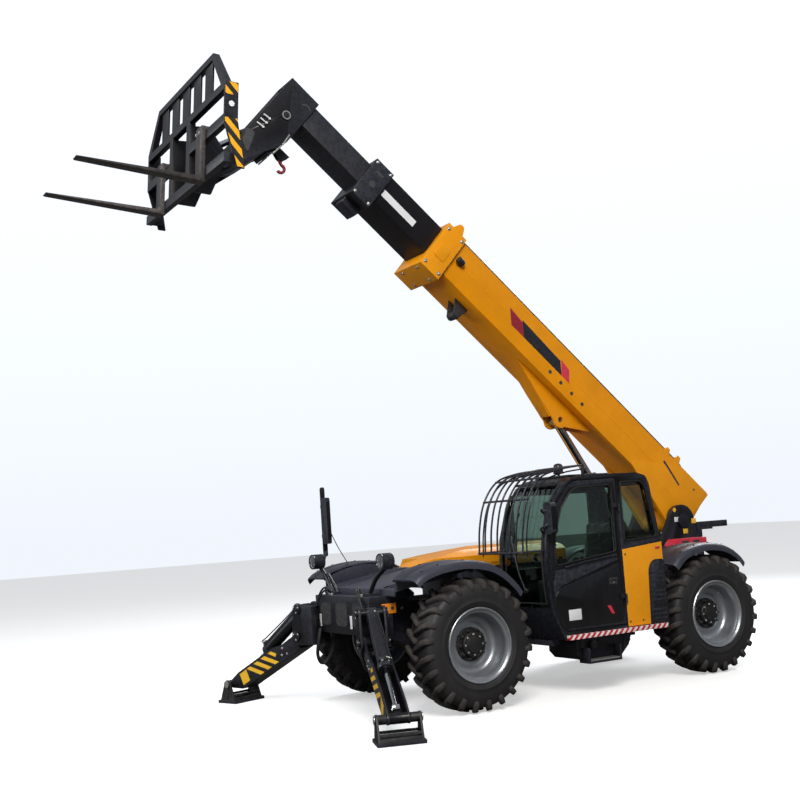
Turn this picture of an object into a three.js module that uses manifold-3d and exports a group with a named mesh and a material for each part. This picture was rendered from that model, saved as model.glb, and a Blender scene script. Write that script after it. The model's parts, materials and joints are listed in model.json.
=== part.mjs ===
// A 4.5 tonne telehandler with a three-section boom, fork carriage and front stabilizer legs.
// Millimetres, +X forward, +Y to the driver's left, +Z up. Shapes are laid out from the point on the
// ground under the front axle, and the whole group is moved at the end so that its origin is the
// middle of the bottom of its bounding box.
import * as THREE from "three";
import { mergeVertices } from "three/addons/utils/BufferGeometryUtils.js";
import Module from "manifold-3d";

const wasm = await Module();
wasm.setup();

// ---- driving dimensions ----
const SEAT_GAP = 0.3; // between pieces that rest on each other
const PIN_GAP = 0.7; // radial play of a bore on its pin
const RUN_GAP = 8; // between pieces that pass each other
const PAD_GAP = 0.5; // between a boom section and the wear pads that guide it
const PIN_SIDES = 20;
const WHEEL_SIDES = 24;
const LATHE_RUNS_UP = true; // the way round a profile that turns its faces outwards

const WHEELBASE = 3040;
const TRACK = 1930; // between the middles of the tyres
const TYRE_RADIUS = 626; // of the flats that stand on the ground
const TYRE_WIDTH = 400;
const RIM_RADIUS = 348;
const RIM_SEAT_RADIUS = 312;
const RIM_WALL = 14;
const DISC_OFFSET = -12; // of the wheel disc from the middle of the tyre, towards the outside
const DISC_THICKNESS = 22;
const HUB_RADIUS = 118;
const HUB_REACH = 92; // of the hub face past the middle of the tyre
const KINGPIN_OFFSET = 150; // of the steering axis inside the middle of the tyre
const KINGPIN_RADIUS = 34;
const KNUCKLE_HEIGHT = 180;
const AXLE_WIDTH = 170;
const AXLE_HEIGHT = 200;

const BOOM_ANGLE = 41.5; // of the boom above level as it is parked
const BOOM_PIVOT = { x: -WHEELBASE - 390, z: 1620 };
const BOOM_PIN_RADIUS = 50;
const BOOM_AXIS_RISE = 342; // of the boom's middle line above its pivot, square to the boom
const OUTER = { width: 480, height: 460, wallSide: 22, wallTop: 30, rear: -215, front: 4080 };
const COLLAR = { length: 270, side: 44, over: 20, under: 115 };
const SECOND_PLAY = { side: 13, height: 18 }; // between the second section and the outer one's walls
const SECOND = {
  width: OUTER.width - 2 * (OUTER.wallSide + SECOND_PLAY.side),
  height: OUTER.height - 2 * (OUTER.wallTop + SECOND_PLAY.height),
  wallSide: 22,
  wallTop: 30,
  length: 4280,
};
const SECOND_COLLAR = { length: 250, side: 38, over: 14, under: 122 };
const THIRD_PLAY = { side: 15, height: 24 };
const THIRD = {
  width: SECOND.width - 2 * (SECOND.wallSide + THIRD_PLAY.side),
  height: SECOND.height - 2 * (SECOND.wallTop + THIRD_PLAY.height),
  wallSide: 14,
  wallTop: 14,
  length: 4300,
};
const SECOND_EXTENSION = 775; // of the second section out of the outer one, as parked
const THIRD_EXTENSION = 800;

const HEAD = { length: 376, width: THIRD.width + 36, over: 48, pinDrop: 1113, pinBack: 60, cheek: 40 };

const FRAME_INSIDE = OUTER.width / 2 + 30; // from the middle plane to the inner face of a side plate
const FRAME_PLATE = 70;
const FRAME_BOTTOM = 560;
const FRAME_TOP = 1040;
const FRAME_FRONT = 600;
const FRAME_REAR = -WHEELBASE - 680;
const TOWER_RADIUS = 185;
const OUTRIGGER = { reach: 900, depth: 70, at: [-1120, -2100] };

const HEAD_END_RADIUS = 92;
const TILT_PIN_RADIUS = 32;
const CARRIAGE_PITCH = 4.3; // of the fork blades, tips up, as parked
const CARRIAGE = { halfWidth: 1100, plane: 310, depth: 60, bottom: -330, postBottom: -365, post: 410, top: 790 };
const SIDE_SHIFT = 105; // of the fork frame and forks to the left of the boom's middle plane
const BACKREST_HALF_WIDTH = 780;
const BACKREST_BARS = 5;
const BACKREST_SLAT = { width: 196, thickness: 16 };
const COUPLER = { inside: HEAD.width / 2 + 14, plate: 36 };
const FORK = { length: 1155, width: 130, thickness: 48, spread: 570, tipLength: 420 };

const LIFT_BASE = { x: -WHEELBASE - 175, z: 930 };
const LIFT_EYE = { s: 1895, n: -52 }; // on the boom, along it and square to it from the pivot
const LIFT_CYLINDER = { barrel: 82, rod: 46, eye: 78, rodEye: 54, width: 130, closed: 1500 };
const TILT_BASE = { s: 6353, n: 150 };
const TILT_EYE = { radius: 225, angle: 58 }; // from the tilt pivot, in the level frame
const TILT_CYLINDER = { barrel: 58, rod: 32, eye: 44, rodEye: 44, width: 96, closed: 470 };

const CAB = { inner: FRAME_INSIDE + FRAME_PLATE + 5, outer: 1150, wall: 42, floor: 560, roof: 2170 };
const DOOR_THICKNESS = 50;
const DOOR_GAP = 7;
const HINGE_OFFSET = 14; // of the door's hinge line outside the cab's side
const CAB_REAR = -2333;
const DOOR_HINGE_X = -1786;
const DOOR_HINGES = [900, 1820]; // heights
const WINDSCREEN_FOOT = 890;
const GUARD_BARS = 8;
const GUARD_TUBE = 10;

const BAY = { front: -760, rear: -2250, inner: -(FRAME_INSIDE + FRAME_PLATE + 22), outer: -1130, bottom: 560, top: 1276, wall: 36 };
const HOOD = { front: -235, noseRear: -490, sheet: 26, crest: 1500 };
const HOOD_HINGES = [-1900, -900];
const ENGINE = { length: 980, width: 520, height: 560 };

const FENDER = { inner: 735, outer: 1172, sheet: 24 };
const FENDER_BRACKET = { length: 310, top: 1352, plate: 22 };
const CHOCK = { length: 500, height: 76, nose: 30, y: 560, width: 160 };
const BEAM = { rear: 600, front: 850, halfWidth: 580, bottom: 760, top: 1130 };
const LEG = { x: 908, y: 736, z: 724, splay: 19.2, reach: 1068, drop: 524 };
const LEG_SECTION = { inside: 80, plate: 18, under: 112, over: 70 };
const LEG_PIN_RADIUS = 32;
const LEG_CYLINDER = { u: -20, w: 272, barrel: 62, rod: 26, eye: 50, rodEye: 36, eyeAlong: 1075, eyeRise: 24, closed: 770 };
const EAR = { gap: 10, plate: 22 };
const FOOT = { length: 400, width: 270, plate: 18, pinHeight: 200, cheek: 176 };

const LAMP = { x: 740, foot: 415, y: 740, z: 1462, radius: 76, tube: 22 };
const MIRROR = { x: 480, y: -1040, top: 2250, tube: 20 };
const HOOK = { s: 6100, n: -150, pin: 9, thickness: 26 };

const paint = {
  yellow: [0xe8960c, 0.42, 0.1],
  black: [0x24262c, 0.5, 0.2],
  plastic: [0x2c2f36, 0.62, 0.0],
  rubber: [0x1d1d1f, 0.9, 0.0],
  silver: [0x9ea2a6, 0.4, 0.6],
  chrome: [0xc8ccd0, 0.15, 1.0],
  cast: [0x2a2b2e, 0.7, 0.4],
  red: [0xc0203a, 0.5, 0.0],
  glass: [0x32443f, 0.05, 0.0],
  seat: [0x1a1a1c, 0.85, 0.0],
};
const materials = Object.fromEntries(
  Object.entries(paint).map(([name, [color, roughness, metalness]]) => [
    name,
    new THREE.MeshStandardMaterial({ name, color, roughness, metalness }),
  ]),
);

// ---- solids ----
const radians = (degrees) => (degrees * Math.PI) / 180;

// A three.js geometry as a closed manifold-3d solid.
function solid(geometry) {
  const bare = geometry.clone();
  bare.deleteAttribute("normal");
  bare.deleteAttribute("uv");
  const merged = mergeVertices(bare, 1e-4);
  return new wasm.Manifold(
    new wasm.Mesh({
      numProp: 3,
      vertProperties: merged.attributes.position.array,
      triVerts: new Uint32Array(merged.index.array),
    }),
  );
}

// A manifold-3d solid as a three.js geometry.
function geometryOf(made) {
  const { vertProperties, triVerts } = made.getMesh();
  const geometry = new THREE.BufferGeometry();
  geometry.setAttribute("position", new THREE.BufferAttribute(vertProperties, 3));
  geometry.setIndex(new THREE.BufferAttribute(triVerts, 1));
  return geometry;
}

const join = (...parts) => geometryOf(parts.flat(Infinity).map(solid).reduce((a, b) => a.add(b)));
const cut = (body, ...tools) => geometryOf(tools.flat(Infinity).map(solid).reduce((a, b) => a.subtract(b), solid(body)));
const common = (a, b) => geometryOf(solid(a).intersect(solid(b)));
const moved = (geometry, x = 0, y = 0, z = 0) => geometry.clone().translate(x, y, z);

// A box between two corners.
function block(x0, x1, y0, y1, z0, z1) {
  const box = new THREE.BoxGeometry(Math.abs(x1 - x0), Math.abs(y1 - y0), Math.abs(z1 - z0));
  return box.translate((x0 + x1) / 2, (y0 + y1) / 2, (z0 + z1) / 2);
}

const shapeOf = (points) => new THREE.Shape(points.map(([a, b]) => new THREE.Vector2(a, b)));

// An outline in X and Z, made solid from y0 to y1.
function plateXZ(points, y0, y1) {
  const flat = new THREE.ExtrudeGeometry(shapeOf(points), { depth: y1 - y0, bevelEnabled: false });
  return flat.rotateX(Math.PI / 2).translate(0, y1, 0);
}

// An outline in Y and Z, made solid from x0 to x1.
function plateYZ(points, x0, x1) {
  const flat = new THREE.ExtrudeGeometry(shapeOf(points), { depth: x1 - x0, bevelEnabled: false });
  return flat.rotateX(Math.PI / 2).rotateZ(Math.PI / 2).translate(x0, 0, 0);
}

// A round bar along Y, X or Z through a point.
function barY(radius, y0, y1, x, z, sides = 24) {
  return new THREE.CylinderGeometry(radius, radius, y1 - y0, sides).translate(x, (y0 + y1) / 2, z);
}
function barX(radius, x0, x1, y, z, sides = 24) {
  const bar = new THREE.CylinderGeometry(radius, radius, x1 - x0, sides).rotateZ(Math.PI / 2);
  return bar.translate((x0 + x1) / 2, y, z);
}
function barZ(radius, z0, z1, x, y, sides = 24) {
  const bar = new THREE.CylinderGeometry(radius, radius, z1 - z0, sides).rotateX(Math.PI / 2);
  return bar.translate(x, y, (z0 + z1) / 2);
}

// A tube along a chain of points, with round bends.
function rod(points, radius, sides = 6) {
  const path = new THREE.CatmullRomCurve3(points.map((p) => new THREE.Vector3(...p)), false, "centripetal");
  const section = shapeOf(ring(0, 0, radius, sides));
  const steps = points.length > 2 ? points.length + 2 : 1;
  return new THREE.ExtrudeGeometry(section, { extrudePath: path, steps, bevelEnabled: false });
}

// Points round a circle, or along an arc from one angle to another in degrees.
function ring(cx, cz, radius, sides) {
  return arc(cx, cz, radius, 0, 360 - 360 / sides, sides - 1);
}
function arc(cx, cz, radius, from, to, steps) {
  return Array.from({ length: steps + 1 }, (_, i) => {
    const angle = radians(from + ((to - from) * i) / steps);
    return [cx + radius * Math.cos(angle), cz + radius * Math.sin(angle)];
  });
}

// A closed profile of radius and height, in either order, turned about the Y axis, with a flat at the bottom.
function turned(profile, sides) {
  const points = profile.map(([r, t]) => new THREE.Vector2(r, t));
  if (THREE.ShapeUtils.area(points) > 0 !== LATHE_RUNS_UP) points.reverse();
  return new THREE.LatheGeometry([...points, points[0]], sides, Math.PI / sides);
}

const root = new THREE.Group();
function add(name, geometry, material, parent = root) {
  const mesh = new THREE.Mesh(geometry, materials[material]);
  mesh.name = name;
  parent.add(mesh);
  return mesh;
}

// A group at a point, turned about Y so that its +X rises by the given angle.
function tilted(x, z, degrees, parent = root) {
  const group = new THREE.Group();
  group.position.set(x, 0, z);
  group.rotation.y = -radians(degrees);
  parent.add(group);
  return group;
}

// ---- chassis ----
const AXLES = { front: 0, rear: -WHEELBASE };
const SIDES = { left: 1, right: -1 };
const KINGPIN_Y = TRACK / 2 - KINGPIN_OFFSET;
const FRAME_OUTSIDE = FRAME_INSIDE + FRAME_PLATE;
const AXLE_CLEAR = AXLE_HEIGHT / 2 + RUN_GAP;

function sidePlate(side) {
  const notch = (x) => [
    [x - AXLE_WIDTH / 2 - RUN_GAP, FRAME_BOTTOM],
    [x - AXLE_WIDTH / 2 - RUN_GAP, TYRE_RADIUS + AXLE_CLEAR],
    [x + AXLE_WIDTH / 2 + RUN_GAP, TYRE_RADIUS + AXLE_CLEAR],
    [x + AXLE_WIDTH / 2 + RUN_GAP, FRAME_BOTTOM],
  ];
  const outline = [
    [FRAME_REAR, FRAME_BOTTOM + 60],
    ...notch(AXLES.rear),
    ...notch(AXLES.front),
    [FRAME_FRONT - SEAT_GAP, FRAME_BOTTOM + 160],
    [FRAME_FRONT - SEAT_GAP, FRAME_TOP],
    [490 - WHEELBASE, FRAME_TOP],
    [80 - WHEELBASE, FRAME_TOP + 110],
    ...arc(BOOM_PIVOT.x, BOOM_PIVOT.z, TOWER_RADIUS, 10, 160, 8),
    [FRAME_REAR, FRAME_TOP + 60],
  ];
  const y0 = side > 0 ? FRAME_INSIDE : -FRAME_OUTSIDE;
  return plateXZ(outline, y0, y0 + FRAME_PLATE);
}

function chassisFrame() {
  const reach = FRAME_INSIDE + 10;
  const belly = block(180 - WHEELBASE, -180, -reach, reach, FRAME_BOTTOM, FRAME_BOTTOM + 40);
  const frontBox = block(260, FRAME_FRONT - SEAT_GAP, -reach, reach, 760, 1000);
  const ballast = block(FRAME_REAR - 130, FRAME_REAR + 40, -500, 500, 640, 1010);
  const arm = block(FRAME_REAR - 420, FRAME_REAR + 60, FRAME_INSIDE + 5, FRAME_OUTSIDE - 5, 1520, 1592);
  const armFoot = block(FRAME_REAR - 10, FRAME_REAR + 60, FRAME_INSIDE + 5, FRAME_OUTSIDE - 5, 1040, 1540);
  const outrigger = (x) => [
    block(x, x + 110, -OUTRIGGER.reach, OUTRIGGER.reach, FRAME_BOTTOM - OUTRIGGER.depth, FRAME_BOTTOM - SEAT_GAP),
    block(x, x + 110, -reach, reach, FRAME_BOTTOM - OUTRIGGER.depth, FRAME_BOTTOM + 20),
  ];
  return join(
    Object.values(SIDES).map(sidePlate),
    belly,
    frontBox,
    ballast,
    arm,
    armFoot,
    OUTRIGGER.at.map(outrigger).flat(),
    barY(BOOM_PIN_RADIUS, -FRAME_OUTSIDE - 12, FRAME_OUTSIDE + 12, BOOM_PIVOT.x, BOOM_PIVOT.z, PIN_SIDES),
    barY(BOOM_PIN_RADIUS, -reach, reach, LIFT_BASE.x, LIFT_BASE.z, PIN_SIDES),
  );
}

// A driven axle: a banjo housing and a fork at each end that holds the kingpin top and bottom.
function axle(x) {
  const high = TYRE_RADIUS + AXLE_HEIGHT / 2;
  const armTop = KNUCKLE_HEIGHT / 2 + SEAT_GAP;
  const end = KINGPIN_Y - 190;
  const arm = (side, z0, z1) => {
    const y = [side * (end - 60), side * (KINGPIN_Y + 42)];
    return block(x - 52, x + 52, ...y, TYRE_RADIUS + z0, TYRE_RADIUS + z1);
  };
  const web = (side) => block(x - 52, x + 52, side * (end - 60), side * (end + 40), TYRE_RADIUS - 125, TYRE_RADIUS + 125);
  const saddle = (side) =>
    block(x - 60, x + 60, side * FRAME_INSIDE, side * FRAME_OUTSIDE, high - 20, TYRE_RADIUS + AXLE_CLEAR - SEAT_GAP);
  return join(
    block(x - AXLE_WIDTH / 2, x + AXLE_WIDTH / 2, -end, end, high - AXLE_HEIGHT, high),
    barY(148, -130, 130, x, TYRE_RADIUS, 24),
    Object.values(SIDES).map((s) => [arm(s, armTop, armTop + 34), arm(s, -armTop - 34, -armTop), web(s), saddle(s)]),
  );
}

// The steered part: kingpin barrel and spindle, up to the inside of the wheel disc.
function knuckle(x, side) {
  const inner = side * KINGPIN_Y;
  const outer = side * (TRACK / 2 + DISC_OFFSET - DISC_THICKNESS / 2 - SEAT_GAP);
  const half = KNUCKLE_HEIGHT / 2;
  return join(
    barZ(58, TYRE_RADIUS - half, TYRE_RADIUS + half, x, inner, 20),
    barY(72, Math.min(inner, outer), Math.max(inner, outer), x, TYRE_RADIUS, 24),
  );
}

function rim() {
  const face = DISC_OFFSET + DISC_THICKNESS / 2;
  const back = DISC_OFFSET - DISC_THICKNESS / 2;
  const bore = RIM_SEAT_RADIUS - RIM_WALL;
  const edge = TYRE_WIDTH / 2 - 8;
  return turned(
    [
      [0, back],
      [bore, back],
      [bore, -edge],
      [RIM_RADIUS, -edge],
      [RIM_RADIUS, -edge + 14],
      [RIM_SEAT_RADIUS, -edge + 22],
      [RIM_SEAT_RADIUS, edge - 22],
      [RIM_RADIUS, edge - 14],
      [RIM_RADIUS, edge],
      [bore, edge],
      [bore, face],
      [HUB_RADIUS + 60, face],
      [HUB_RADIUS, face + 18],
      [HUB_RADIUS, HUB_REACH],
      [0, HUB_REACH],
    ],
    WHEEL_SIDES,
  );
}

function tyre() {
  const half = TYRE_WIDTH / 2;
  const bead = half - 30 - SEAT_GAP;
  const tread = TYRE_RADIUS / Math.cos(Math.PI / WHEEL_SIDES);
  const right = [
    [RIM_SEAT_RADIUS + SEAT_GAP, bead],
    [RIM_RADIUS + 6, bead],
    [RIM_RADIUS + 12, half - 12],
    [tread - 170, half],
    [tread - 66, half - 3],
    [tread - 16, half - 18],
    [tread, half - 48],
  ];
  const left = right.map(([r, t]) => [r, -t]).reverse();
  return turned([...right, ...left], WHEEL_SIDES);
}

function addWheels() {
  for (const [end, x] of Object.entries(AXLES)) {
    add(`${end}_axle`, axle(x), "black");
    for (const [hand, side] of Object.entries(SIDES)) {
      add(`knuckle_${end}_${hand}`, knuckle(x, side), "cast");
      const hub = new THREE.Group();
      hub.position.set(x, (side * TRACK) / 2, TYRE_RADIUS);
      if (side < 0) hub.rotation.x = Math.PI;
      root.add(hub);
      add(`rim_${end}_${hand}`, rim(), "silver", hub);
      add(`tyre_${end}_${hand}`, tyre(), "rubber", hub);
    }
  }
}

// ---- cab ----
// The outline of a closed shape moved inwards by a distance, or outwards by a negative one.
function inset(points, distance) {
  const turn = Math.sign(THREE.ShapeUtils.area(points.map(([x, y]) => new THREE.Vector2(x, y))));
  return points.map(([x, y], i) => {
    const [ax, ay] = points.at(i - 1);
    const [bx, by] = points[(i + 1) % points.length];
    const before = new THREE.Vector2(x - ax, y - ay).normalize();
    const after = new THREE.Vector2(bx - x, by - y).normalize();
    const middle = before.clone().add(after).normalize();
    const step = (turn * distance) / middle.dot(before);
    return [x - middle.y * step, y + middle.x * step];
  });
}

const CAB_OUTLINE = [
  [-1000, CAB.floor],
  [-860, 880],
  [-830, 1250],
  [-855, 1560],
  [-960, 1890],
  [-1110, 2080],
  [-1230, CAB.roof - 22],
  [-1400, CAB.roof],
  [-2080, CAB.roof],
  [-2200, CAB.roof - 36],
  [-2240, CAB.roof - 110],
  [CAB_REAR, 1450],
  [CAB_REAR, CAB.floor],
];
const DOOR_OUTLINE = [
  [-1050, 648],
  [-965, 720],
  [-905, 880],
  [-878, 1250],
  [-903, 1565],
  [-1008, 1880],
  [-1150, 2055],
  [-1250, 2112],
  [DOOR_HINGE_X, 2124],
  [DOOR_HINGE_X, 648],
];
const DOOR_WINDOW = [
  [-962, 1290],
  [-950, 1400],
  [-972, 1590],
  [-1066, 1850],
  [-1190, 2000],
  [-1270, 2046],
  [DOOR_HINGE_X + 62, 2056],
  [DOOR_HINGE_X + 62, 1382],
];
const QUARTER_WINDOW = [
  [DOOR_HINGE_X - 62, 1478],
  [DOOR_HINGE_X - 62, 2080],
  [-2118, 2080],
  [-2180, 2010],
  [-2278, 1500],
];
const SIDE_PANEL = [
  [DOOR_HINGE_X - 22, 612],
  [DOOR_HINGE_X - 22, 1392],
  [CAB_REAR - 12, 1440],
  [CAB_REAR - 20, 1200],
  [CAB_REAR - 20, 612],
];
const windscreenBlock = (margin) =>
  block(-1330, -700, CAB.inner + 48 + margin, CAB.outer - 52 - margin, WINDSCREEN_FOOT + margin, CAB.roof - 84 - margin);

function cabShell() {
  const wallInside = CAB.outer - DOOR_THICKNESS;
  const sideCut = (outline) => plateXZ(outline, wallInside - 20, CAB.outer + 20);
  const knuckles = DOOR_HINGES.map((z) => [
    barZ(12, z - 45, z - SEAT_GAP, DOOR_HINGE_X - 14, CAB.outer + HINGE_OFFSET, 12),
    block(DOOR_HINGE_X - 20, DOOR_HINGE_X - 8, CAB.outer - 10, CAB.outer + HINGE_OFFSET, z - 45, z - SEAT_GAP),
  ]);
  return cut(
    join(
      cut(
        plateXZ(CAB_OUTLINE, CAB.inner, CAB.outer),
        plateXZ(inset(CAB_OUTLINE, CAB.wall), CAB.inner + CAB.wall, wallInside),
        windscreenBlock(0),
        sideCut(inset(DOOR_OUTLINE, -DOOR_GAP)),
        sideCut(QUARTER_WINDOW),
        plateXZ(inset(SIDE_PANEL, -SEAT_GAP), wallInside - 1, CAB.outer + 20),
        block(-2060, -1040, CAB.inner - 10, CAB.inner + CAB.wall + 10, 1240, 2010),
        block(CAB_REAR - 10, -2150, CAB.inner + 80, CAB.outer - 100, 1500, 2040),
      ),
      knuckles.flat(),
    ),
    block(-1800, -1300, CAB.inner + 120, CAB.outer - 130, CAB.roof - 20, CAB.roof + 20),
  );
}

function windscreen() {
  const sheet = cut(
    plateXZ(CAB_OUTLINE, CAB.inner, CAB.outer),
    plateXZ(inset(CAB_OUTLINE, 12), CAB.inner - 5, CAB.outer + 5),
  );
  return common(sheet, windscreenBlock(PAD_GAP));
}

function cabDoor() {
  const knuckles = DOOR_HINGES.map((z) => [
    barZ(12, z, z + 45, DOOR_HINGE_X - 14, CAB.outer + HINGE_OFFSET, 12),
    block(DOOR_HINGE_X - 14, DOOR_HINGE_X + 60, CAB.outer + 4, CAB.outer + HINGE_OFFSET + 6, z, z + 45),
    block(DOOR_HINGE_X + 20, DOOR_HINGE_X + 60, CAB.outer - 10, CAB.outer + 10, z, z + 45),
  ]);
  const leaf = cut(
    plateXZ(DOOR_OUTLINE, CAB.outer - DOOR_THICKNESS, CAB.outer),
    plateXZ(DOOR_WINDOW, CAB.outer - DOOR_THICKNESS - 5, CAB.outer + 5),
  );
  return join(leaf, knuckles.flat());
}

// The cab front's X at a height.
function cabFrontAt(z) {
  const next = CAB_OUTLINE.findIndex((p) => p[1] > z);
  const [[x0, z0], [x1, z1]] = [CAB_OUTLINE[next - 1], CAB_OUTLINE[next]];
  return x0 + ((x1 - x0) * (z - z0)) / (z1 - z0);
}

// Bars that follow the windscreen and the roof edge, tied by cross rails and held at the pillars.
function cabGuard() {
  const profile = [
    [-585, 1440],
    [-610, 1700],
    [-690, CAB.roof - 210],
    [-860, CAB.roof - 10],
    [-1100, CAB.roof + 65],
    [-1400, CAB.roof + 100],
  ];
  const inner = CAB.inner + 18;
  const outer = CAB.outer - 26;
  const at = (i) => inner + ((outer - inner) * i) / (GUARD_BARS - 1);
  const bars = Array.from({ length: GUARD_BARS }, (_, i) => rod(profile.map(([x, z]) => [x, at(i), z]), GUARD_TUBE));
  const rails = [profile[0], profile[2], profile[3], profile[5]].map(([x, z]) =>
    barY(GUARD_TUBE + 1, inner - 12, outer + 12, x, z, 6),
  );
  const foot = 1450;
  const feet = [inner, outer].map((y) => [
    block(-1412, -1388, y - 12, y + 12, CAB.roof + SEAT_GAP, CAB.roof + 102),
    block(cabFrontAt(foot - 10) + SEAT_GAP, -580, y - 10, y + 10, foot - 10, foot + 4),
  ]);
  return join(bars, rails, feet);
}

function driverSeat() {
  const floor = CAB.floor + CAB.wall + SEAT_GAP;
  const back = plateXZ([[-1700, 1090], [-1800, 1090], [-1930, 1660], [-1880, 1700], [-1830, 1680]], 560, 980);
  return join(
    block(-1760, -1330, 600, 940, floor, 1000),
    block(-1790, -1290, 550, 990, 980, 1100),
    back,
  );
}

// Dash column with the steering wheel, and the lever console on the right of the seat.
function controlConsole() {
  const floor = CAB.floor + CAB.wall + SEAT_GAP;
  const wheel = new THREE.TorusGeometry(175, 14, 6, 20).rotateY(radians(-35)).translate(-1175, 770, 1295);
  return join(
    block(-1200, -1060, 480, 980, floor, 760),
    block(-1130, -1060, 690, 850, floor, 1130),
    rod([[-1090, 770, 1100], [-1180, 770, 1302]], 26, 10),
    rod([[-1175, 590, 1295], [-1175, 950, 1295]], 12, 8),
    wheel,
    block(-1700, -1090, CAB.inner + CAB.wall + SEAT_GAP, 500, floor, 760),
    block(-1690, -1330, CAB.inner + CAB.wall + SEAT_GAP, 500, floor, 1150),
  );
}

function stepAndTank() {
  const under = FRAME_BOTTOM - SEAT_GAP;
  const tank = plateXZ([[-1225, under], [-1225, 400], [-1290, 330], [-1800, 330], [-1900, 420], [-1960, under]], 560, 1020);
  const tread = [
    block(-1700, -1280, 1020, 1140, 300, 322),
    block(-1700, -1680, 980, 1140, 300, 450),
    block(-1300, -1280, 980, 1140, 300, 450),
  ]; // the step hangs from the tank on two side plates
  return join(tank, tread);
}

// ---- engine side ----
function hoodSolid(margin) {
  const front = HOOD.front - margin;
  const rear = BAY.rear + margin;
  const base = BAY.top + SEAT_GAP - (margin ? 5 : 0);
  const side = [
    [front, base],
    [front, 1330 - margin / 2],
    [front - 60, 1362 - margin],
    [front - 420, 1432 - margin],
    [front - 900, HOOD.crest - margin],
    [rear + 120, HOOD.crest - margin],
    [rear, HOOD.crest - 60 - margin],
    [rear, base],
  ];
  const inner = BAY.inner - margin;
  const outer = BAY.outer + margin;
  const section = [
    [inner, base],
    [inner, 1400 - margin],
    [inner - 90, 1470 - margin],
    [inner - 300, HOOD.crest + 10 - margin],
    [outer + 260, HOOD.crest - 30 - margin],
    [outer + 60, 1400 - margin],
    [outer, 1330 - margin],
    [outer, base],
  ];
  const full = common(plateXZ(side, outer - 20, inner + 20), plateYZ(section, rear - 20, front + 20));
  return cut(full, noseCut(margin, BAY.bottom, HOOD.crest + 50));
}

// The outer part of the nose stops short of the front fender.
const noseCut = (margin, z0, z1) =>
  block(HOOD.noseRear - margin, HOOD.front + 50, BAY.outer - 50, RUN_GAP - FENDER.inner + margin, z0, z1);

const hoodKnuckle = (x, length) => barX(11, x, x + length, BAY.inner + 14, BAY.top + 8, 12);

function engineHood() {
  const tabs = HOOD_HINGES.map((x) => [
    hoodKnuckle(x, 60),
    block(x, x + 60, BAY.inner - 10, BAY.inner + 16, BAY.top + 6, BAY.top + 18),
  ]);
  return join(cut(hoodSolid(0), hoodSolid(HOOD.sheet)), tabs.flat());
}

function engineBay() {
  const inside = BAY.wall;
  const tub = cut(
    block(BAY.rear, BAY.front, BAY.outer, BAY.inner, BAY.bottom, BAY.top),
    block(BAY.rear + inside, BAY.front - inside, BAY.outer + inside, BAY.inner - inside, BAY.bottom + inside, BAY.top + 10),
  );
  const shelf = block(BAY.front - 20, HOOD.front, BAY.outer, BAY.inner, BAY.top - 14, BAY.top);
  const nose = cut(shelf, noseCut(0, BAY.bottom, BAY.top + 50));
  const tabs = HOOD_HINGES.map((x) => [
    hoodKnuckle(x - 60 - SEAT_GAP, 60),
    block(x - 60 - SEAT_GAP, x - SEAT_GAP, BAY.inner - 10, BAY.inner + 16, BAY.top - 30, BAY.top - SEAT_GAP),
    block(x - 60 - SEAT_GAP, x - SEAT_GAP, BAY.inner + 4, BAY.inner + 24, BAY.top - 30, BAY.top + 6),
  ]);
  return join(tub, nose, tabs);
}

function engineBlock() {
  const x = (BAY.front + BAY.rear) / 2;
  const y = (BAY.inner + BAY.outer) / 2;
  const z = BAY.bottom + BAY.wall + SEAT_GAP;
  return block(x - ENGINE.length / 2, x + ENGINE.length / 2, y - ENGINE.width / 2, y + ENGINE.width / 2, z, z + ENGINE.height);
}

// ---- bodywork over the wheels ----
// A strip of sheet that follows a chain of points, square to them.
function strip(points, thickness) {
  const under = points.map(([x, z], i) => {
    const [ax, az] = points[Math.max(i - 1, 0)];
    const [bx, bz] = points[Math.min(i + 1, points.length - 1)];
    const along = new THREE.Vector2(bx - ax, bz - az).normalize();
    return [x - along.y * thickness, z + along.x * thickness];
  });
  return [...points, ...under.reverse()];
}

// Fender tops from front to back, as offsets from the axle in X and heights in Z.
const FRONT_FENDER = [[672, 1292], [560, 1352], [380, 1402], [100, 1425], [-160, 1386], [-330, 1305], [-450, 1205], [-552, 1098]];
const REAR_FENDER = [[560, 1200], [400, 1310], [200, 1366], [0, 1380], [-200, 1348], [-365, 1270], [-494, 1160]];

function fender(points, x, side) {
  const y = [side * FENDER.inner, side * FENDER.outer].sort((a, b) => a - b);
  return plateXZ(strip(points.map(([dx, z]) => [x + dx, z]), FENDER.sheet), ...y);
}

// The front cover: a sloping deck over the frame between the two front fenders.
function frontDeck() {
  const slope = (x) => 1165 + (650 - x) * 0.165;
  const deck = plateXZ([[650, slope(650)], [650, slope(650) + 24], [-225, slope(-225) + 24], [-225, slope(-225)]], -750, 750);
  const legs = Object.values(SIDES).map((s) => {
    const y = [s * (FRAME_INSIDE + 30), s * (FRAME_INSIDE + 60)].sort((a, b) => a - b);
    return block(300, 560, ...y, FRAME_TOP + SEAT_GAP, 1200);
  });
  const skirts = Object.values(SIDES).map((s) => {
    const y = [s * FENDER.inner, s * (FENDER.inner + 26)].sort((a, b) => a - b);
    return plateXZ([[640, 1190], [520, 1210], [-200, 1320], [-250, 1340], [-120, 1392], [100, 1410], [380, 1390], [640, 1300]], ...y);
  });
  const wings = Object.values(SIDES).map((s) => fender(FRONT_FENDER, AXLES.front, s));
  return join(deck, legs, skirts, wings);
}

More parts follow.
